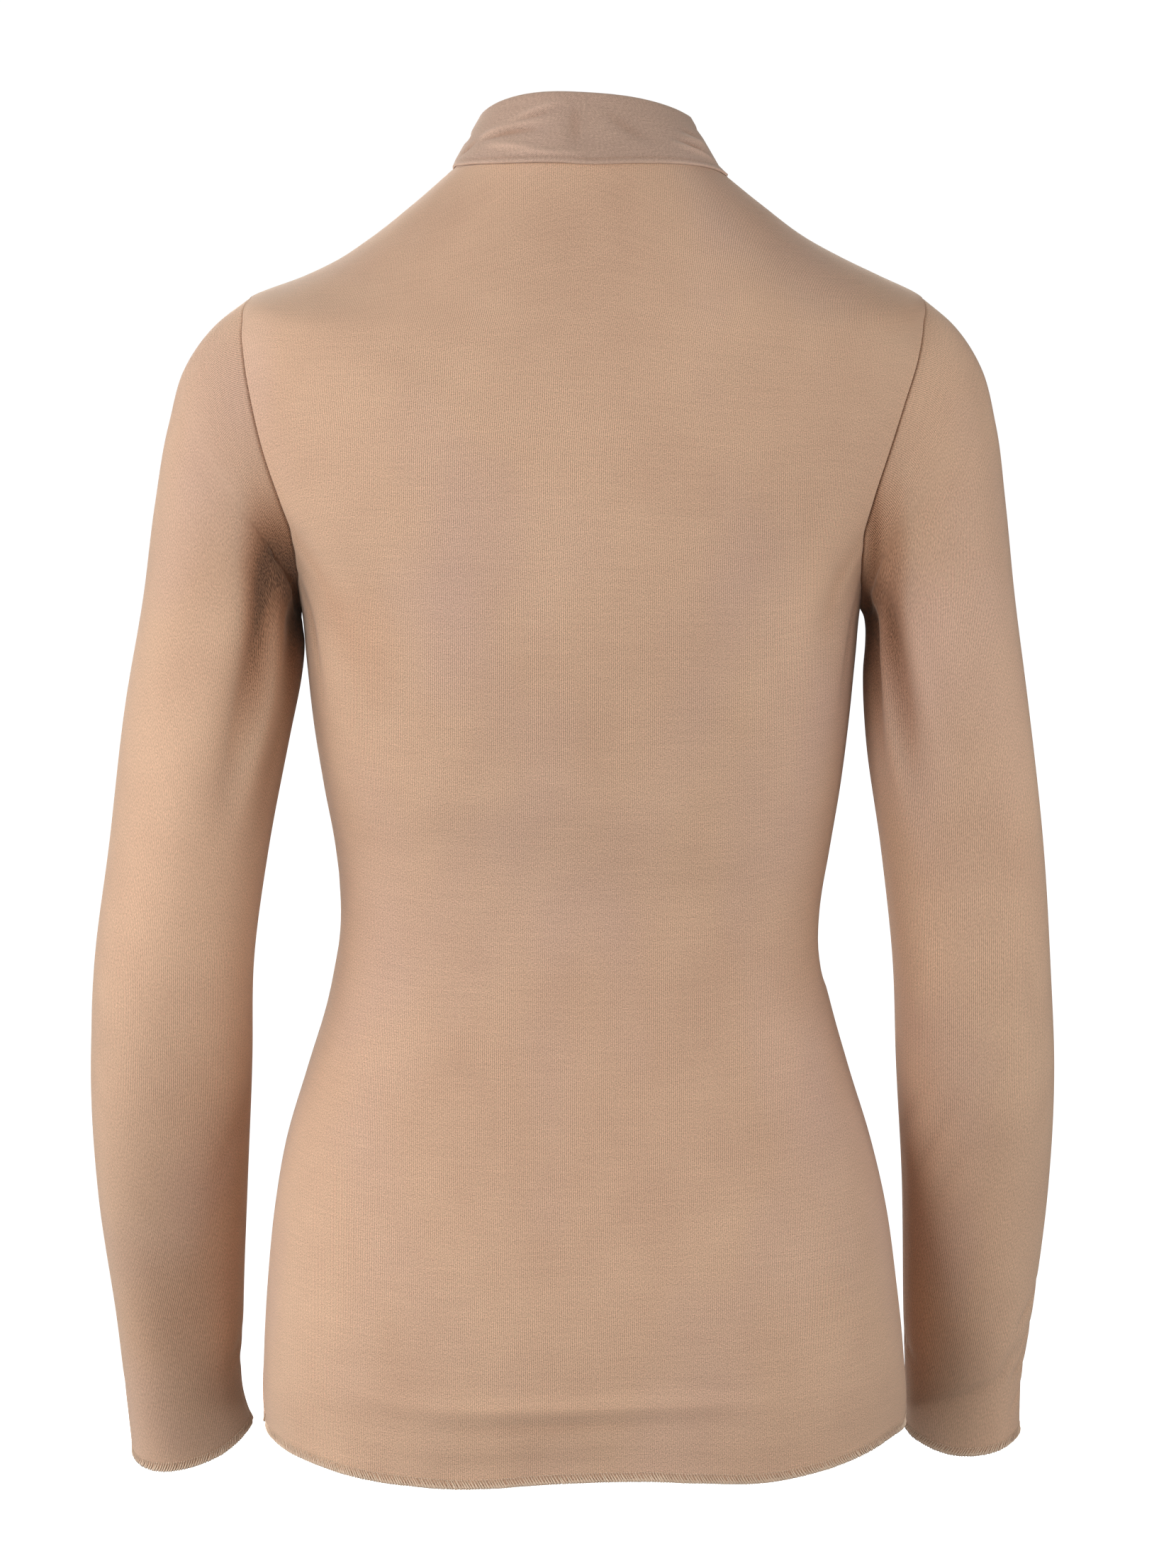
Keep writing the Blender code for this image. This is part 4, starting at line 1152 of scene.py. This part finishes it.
jerseyLook = {
    "light": linear(218, 181, 151),
    "dark": linear(193, 155, 129),
    "pink": linear(199, 164, 146),
    "walePitch": 0.00101,
    "waleShade": 0.54,          # how much darker the gaps between ribs are, at most
    "grainShade": 1.30,
    "slubShade": 0.07,
    "streakShade": 0.13,
    "foldTint": (1.20, 0.94, 0.78, 1.0),
    "cloudShare": 0.9,          # large and small patches of the paler tone, and the mean share
    "patchShare": 0.8,
    "meanShare": 0.47,
    "waleWander": 2.6,
    "waleDepth": 0.00006,
    "grainDepth": 0.00010,
    "slubDepth": 0.00003,
    "rippleDepth": 0.0007,
    "bump": 0.6,
    "specular": 0.25,
    "roughness": 0.85,
    "sheen": 0.60,
    "sheenRoughness": 0.5,
    "sheenTint": linear(255, 238, 220),
}


def makeJersey(name, look):
    net = Net(name)
    uv = net.add("ShaderNodeUVMap", {"uv_map": "cut"})
    place = net.add("ShaderNodeTexCoord", None, None, "Object")
    across = net.add("ShaderNodeSeparateXYZ", None, {0: uv}, "X")

    # Wales: upright ribs that wander a little and are clearer in some places than in others
    wander = (net.noise(net.stretch(uv, (30, 6, 1)), 1.0) - 0.5) * look["waleWander"]
    turn = across * (wholeTurn / look["walePitch"]) + wander
    wave = turn.maths("SINE", turn, 0.0) * 0.5
    clear = net.ramp(net.noise(place, 9.0, 2.0), ((0.38, 0.30), (0.62, 1.0)))
    broken = net.noise(net.stretch(uv, (1000, 500, 1)), 1.0, 1.0)
    wale = wave * clear * (broken + 0.5)

    # Grain of the stitches, slubs, which are thin pale threads that lie across here and there,
    # and faint streaks along the rows
    grain = net.noise(net.stretch(uv, (2100, 1500, 1)), 1.0, 1.0) - 0.5
    slub = net.ramp(net.noise(net.stretch(uv, (60, 1100, 1)), 1.0, 2.0), ((0.56, 0.0), (0.74, 1.0)))
    streak = net.noise(net.stretch(uv, (26, 480, 1)), 1.0, 2.0) - 0.5
    # The painted light and the seams' dark lines, from the mesh
    paintedLightAndSeam = net.add("ShaderNodeAttribute", {"attribute_name": "paintedLightAndSeam"}, None, "Fac")
    shade = (wale * look["waleShade"] + grain * look["grainShade"] + slub * look["slubShade"]
             + streak * look["streakShade"] + paintedLightAndSeam + 1.0)

    cloud = net.noise(place, 7.0, 2.0, 0.5)
    patch = net.noise(place, 19.0, 3.0, 0.55)
    tone = ((cloud - 0.5) * look["cloudShare"] + (patch - 0.5) * look["patchShare"]
            + look["meanShare"])
    colour = net.blend(tone, look["dark"], look["light"])
    pink = net.ramp(net.noise(net.stretch(place, (1, 1, 0.6)), 11.0, 2.0), ((0.48, 0.0), (0.72, 0.6)))
    colour = net.scaled(net.blend(pink, colour, look["pink"]), shade)

    # Light that goes from cloth to cloth in a deep fold turns browner
    deep = net.ramp(0.0 - paintedLightAndSeam, ((0.06, 0.0), (0.60, 1.0)))
    colour = net.stretch(colour, net.blend(deep, (1.0, 1.0, 1.0, 1.0), look["foldTint"]))

    ripple = net.noise(net.stretch(place, (1, 1, 0.7)), 60.0, 2.0, 0.5)
    height = (wale * look["waleDepth"] + grain * look["grainDepth"] + slub * look["slubDepth"]
              + ripple * look["rippleDepth"])
    bump = net.add("ShaderNodeBump", None,
                   {"Strength": look["bump"], "Distance": 1.0, "Height": height})
    net.join(net.shader.inputs["Base Color"], colour)
    net.join(net.shader.inputs["Roughness"], look["roughness"] + grain * 0.1)
    net.join(net.shader.inputs["Normal"], bump)
    net.shader.inputs["Sheen Weight"].default_value = look["sheen"]
    net.shader.inputs["Sheen Roughness"].default_value = look["sheenRoughness"]
    net.shader.inputs["Sheen Tint"].default_value = look["sheenTint"]
    net.shader.inputs["Specular IOR Level"].default_value = look["specular"]
    return net.material


threadLook = {
    "light": linear(244, 219, 193),
    "dark": linear(206, 174, 147),
    "windPitch": 0.00070,
    "windDepth": 0.00009,
    "fibreDepth": 0.00005,
    "bump": 0.6,
    "roughness": 0.78,
    "sheen": 0.2,
    "specular": 0.25,
}


def makeThread(name, look):
    # Thread wound on a slant round the edge, with loose fibres as fine noise
    net = Net(name)
    uv = net.add("ShaderNodeUVMap", {"uv_map": "cut"})
    place = net.add("ShaderNodeTexCoord", None, None, "Object")
    across = net.add("ShaderNodeSeparateXYZ", None, {0: uv}, "X")
    up = net.add("ShaderNodeSeparateXYZ", None, {0: uv}, "Y")
    jitter = net.noise(net.stretch(uv, (260, 60, 1)), 1.0, 1.0)
    turn = (across + up * 0.6) * (wholeTurn / look["windPitch"]) + jitter * 4
    wind = turn.maths("SINE", turn, 0.0) * 0.5 + 0.5
    fibre = net.noise(place, 1500.0, 2.0, 0.6)
    tone = wind * 0.45 + (fibre - 0.5) * 0.8 + 0.3
    net.join(net.shader.inputs["Base Color"], net.blend(tone, look["dark"], look["light"]))
    net.join(net.shader.inputs["Roughness"], look["roughness"] + (fibre - 0.5) * 0.1)
    height = wind * look["windDepth"] + fibre * look["fibreDepth"]
    bump = net.add("ShaderNodeBump", None,
                   {"Strength": look["bump"], "Distance": 1.0, "Height": height})
    net.join(net.shader.inputs["Normal"], bump)
    net.shader.inputs["Sheen Weight"].default_value = look["sheen"]
    net.shader.inputs["Specular IOR Level"].default_value = look["specular"]
    return net.material


# The collar's double cloth is a little greyer, and the armholes' threads lie deep and look brown
collarLook = dict(jerseyLook, light=linear(196, 165, 145), dark=linear(170, 141, 124),
                  pink=linear(180, 151, 137), waleShade=0.45)
seamLook = dict(threadLook, light=linear(160, 124, 98), dark=linear(118, 88, 68))

edgeThreads = (*hemThreads, *leftThreads, *rightThreads)
for pieces, material in (
        ((back, front, leftSleeve, rightSleeve), makeJersey("beigeJersey", jerseyLook)),
        ((collar,), makeJersey("collarJersey", collarLook)),
        (edgeThreads, makeThread("beigeThread", threadLook)),
        (seamThreads, makeThread("brownThread", seamLook))):
    for piece in pieces:
        piece.data.materials.append(material)
print("materials made")


# Floor, light and camera
studio = {
    "floorHeight": -1.15,
    "floorSize": 60.0,
    "floorColour": (0.90, 0.90, 0.89, 1.0),
    "floorRoughness": 0.9,
    "floorGlow": 1.02,
    "backdrop": 1.02,
    # Light from all round: height of the direction, from 0 below to 1 above, and its level
    "ambient": ((0.0, 0.03), (0.40, 0.15), (0.60, 0.38), (0.84, 0.04)),
    "lights": {
        # place, aim, size, power
        "keyLight": ((1.9, 2.6, 1.0), (0.0, 0.0, -0.28), 1.7, 15.5),
        "lowLight": ((1.8, 2.6, -0.7), (0.0, 0.0, -0.4), 1.6, 40.0),
        "highLight": ((2.2, 1.0, 1.9), (0.0, 0.0, -0.25), 1.6, 15.5),
        "leftLight": ((3.2, 0.5, 0.3), (0.1, 0.0, -0.3), 2.0, 50.0),
        "rightLight": ((-3.2, 0.5, 0.0), (-0.1, 0.0, -0.3), 2.0, 31.0),
        "fillLight": ((-2.6, 2.2, 0.0), (0.0, 0.0, -0.28), 2.2, 33.0),
        "behindLight": ((3.0, -1.0, 0.2), (0.1, 0.0, -0.3), 2.0, 8.0),
        "frontLight": ((0.6, -3.2, 0.6), (0.0, 0.0, -0.28), 2.4, 60.0),
    },
    "lens": 137.08,
    "sensor": 36.0,
    "clip": (0.05, 200.0),
    "cameraPlace": (0.0, 3.0, -0.16),
    "cameraAim": (-0.00268, 0.0, -0.3083),
}


def aim(thing, place, target):
    # A light or a camera looks along its own -Z, with +Y up
    direction = np.array(target) - np.array(place)
    flat = math.hypot(direction[0], direction[1])
    thing.location = place
    thing.rotation_euler = (math.atan2(flat, -direction[2]), 0.0,
                            math.atan2(-direction[0], direction[1]))


def addLight(name, place, target, size, power):
    # A white disk
    data = bpy.data.lights.new(name, "AREA")
    data.shape = "DISK"
    data.size, data.energy = size, power
    light = bpy.data.objects.new(name, data)
    bpy.context.scene.collection.objects.link(light)
    aim(light, place, target)


half = studio["floorSize"] / 2
low = studio["floorHeight"]
corners = [(-half, -half, low), (half, -half, low), (half, half, low), (-half, half, low)]
floor = addMesh("studioFloor", corners, [(0, 1, 2, 3)], smooth=False)
floorNet = Net("paleFloor")
floorNet.shader.inputs["Base Color"].default_value = studio["floorColour"]
floorNet.shader.inputs["Roughness"].default_value = studio["floorRoughness"]
floorNet.shader.inputs["Emission Color"].default_value = (1.0, 1.0, 1.0, 1.0)
floorNet.shader.inputs["Emission Strength"].default_value = studio["floorGlow"]
floor.data.materials.append(floorNet.material)
floor.visible_diffuse = False
floor.visible_glossy = False

# The world is white to the camera and graded from below to above for everything else
world = bpy.data.worlds.new("paleStudio")
bpy.context.scene.world = world
world.use_nodes = True
sky = world.node_tree
direction = sky.nodes.new("ShaderNodeTexCoord")
height = sky.nodes.new("ShaderNodeSeparateXYZ")
sky.links.new(direction.outputs["Generated"], height.inputs[0])
share = sky.nodes.new("ShaderNodeMapRange")
share.inputs["From Min"].default_value = -1.0
sky.links.new(height.outputs["Z"], share.inputs["Value"])
grade = sky.nodes.new("ShaderNodeValToRGB")
for _ in studio["ambient"][2:]:
    grade.color_ramp.elements.new(0.5)
for stop, (place, level) in zip(grade.color_ramp.elements, studio["ambient"]):
    stop.position = place
    stop.color = (level, level, level, 1.0)
sky.links.new(share.outputs["Result"], grade.inputs["Fac"])
path = sky.nodes.new("ShaderNodeLightPath")
pick = sky.nodes.new("ShaderNodeMix")
pick.data_type = "RGBA"
sky.links.new(path.outputs["Is Camera Ray"], pick.inputs[0])
sky.links.new(grade.outputs["Color"], pick.inputs[6])
pick.inputs[7].default_value = (studio["backdrop"],) * 3 + (1.0,)
sky.links.new(pick.outputs[2], sky.nodes["Background"].inputs["Color"])
bpy.context.scene.view_settings.view_transform = "Standard"

for name, settings in studio["lights"].items():
    addLight(name, *settings)

lens = bpy.data.cameras.new("camera")
lens.lens = studio["lens"]
lens.sensor_width = studio["sensor"]
lens.clip_start, lens.clip_end = studio["clip"]
camera = bpy.data.objects.new("camera", lens)
bpy.context.scene.collection.objects.link(camera)
aim(camera, studio["cameraPlace"], studio["cameraAim"])
bpy.context.scene.camera = camera
print("studio made")

# What each piece stands for, the size it was cut to, and the threads on it
cuts = (
    (back, "back", (0.50, 0.66), 0.245, hemThreads),
    (front, "front", (0.50, 0.66), 0.245, ()),
    (leftSleeve, "sleeve_left", (0.31, 0.60), 0.135, (*leftThreads, seamThreads[0])),
    (rightSleeve, "sleeve_right", (0.31, 0.60), 0.135, (*rightThreads, seamThreads[1])),
    (collar, "collar", (0.37, 0.07), 0.0258, ()),
)
for piece, node, flat, area, threads in cuts:
    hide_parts(node)
    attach(piece, "root")

for piece in (*edgeThreads, *seamThreads):
    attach(piece, "root")
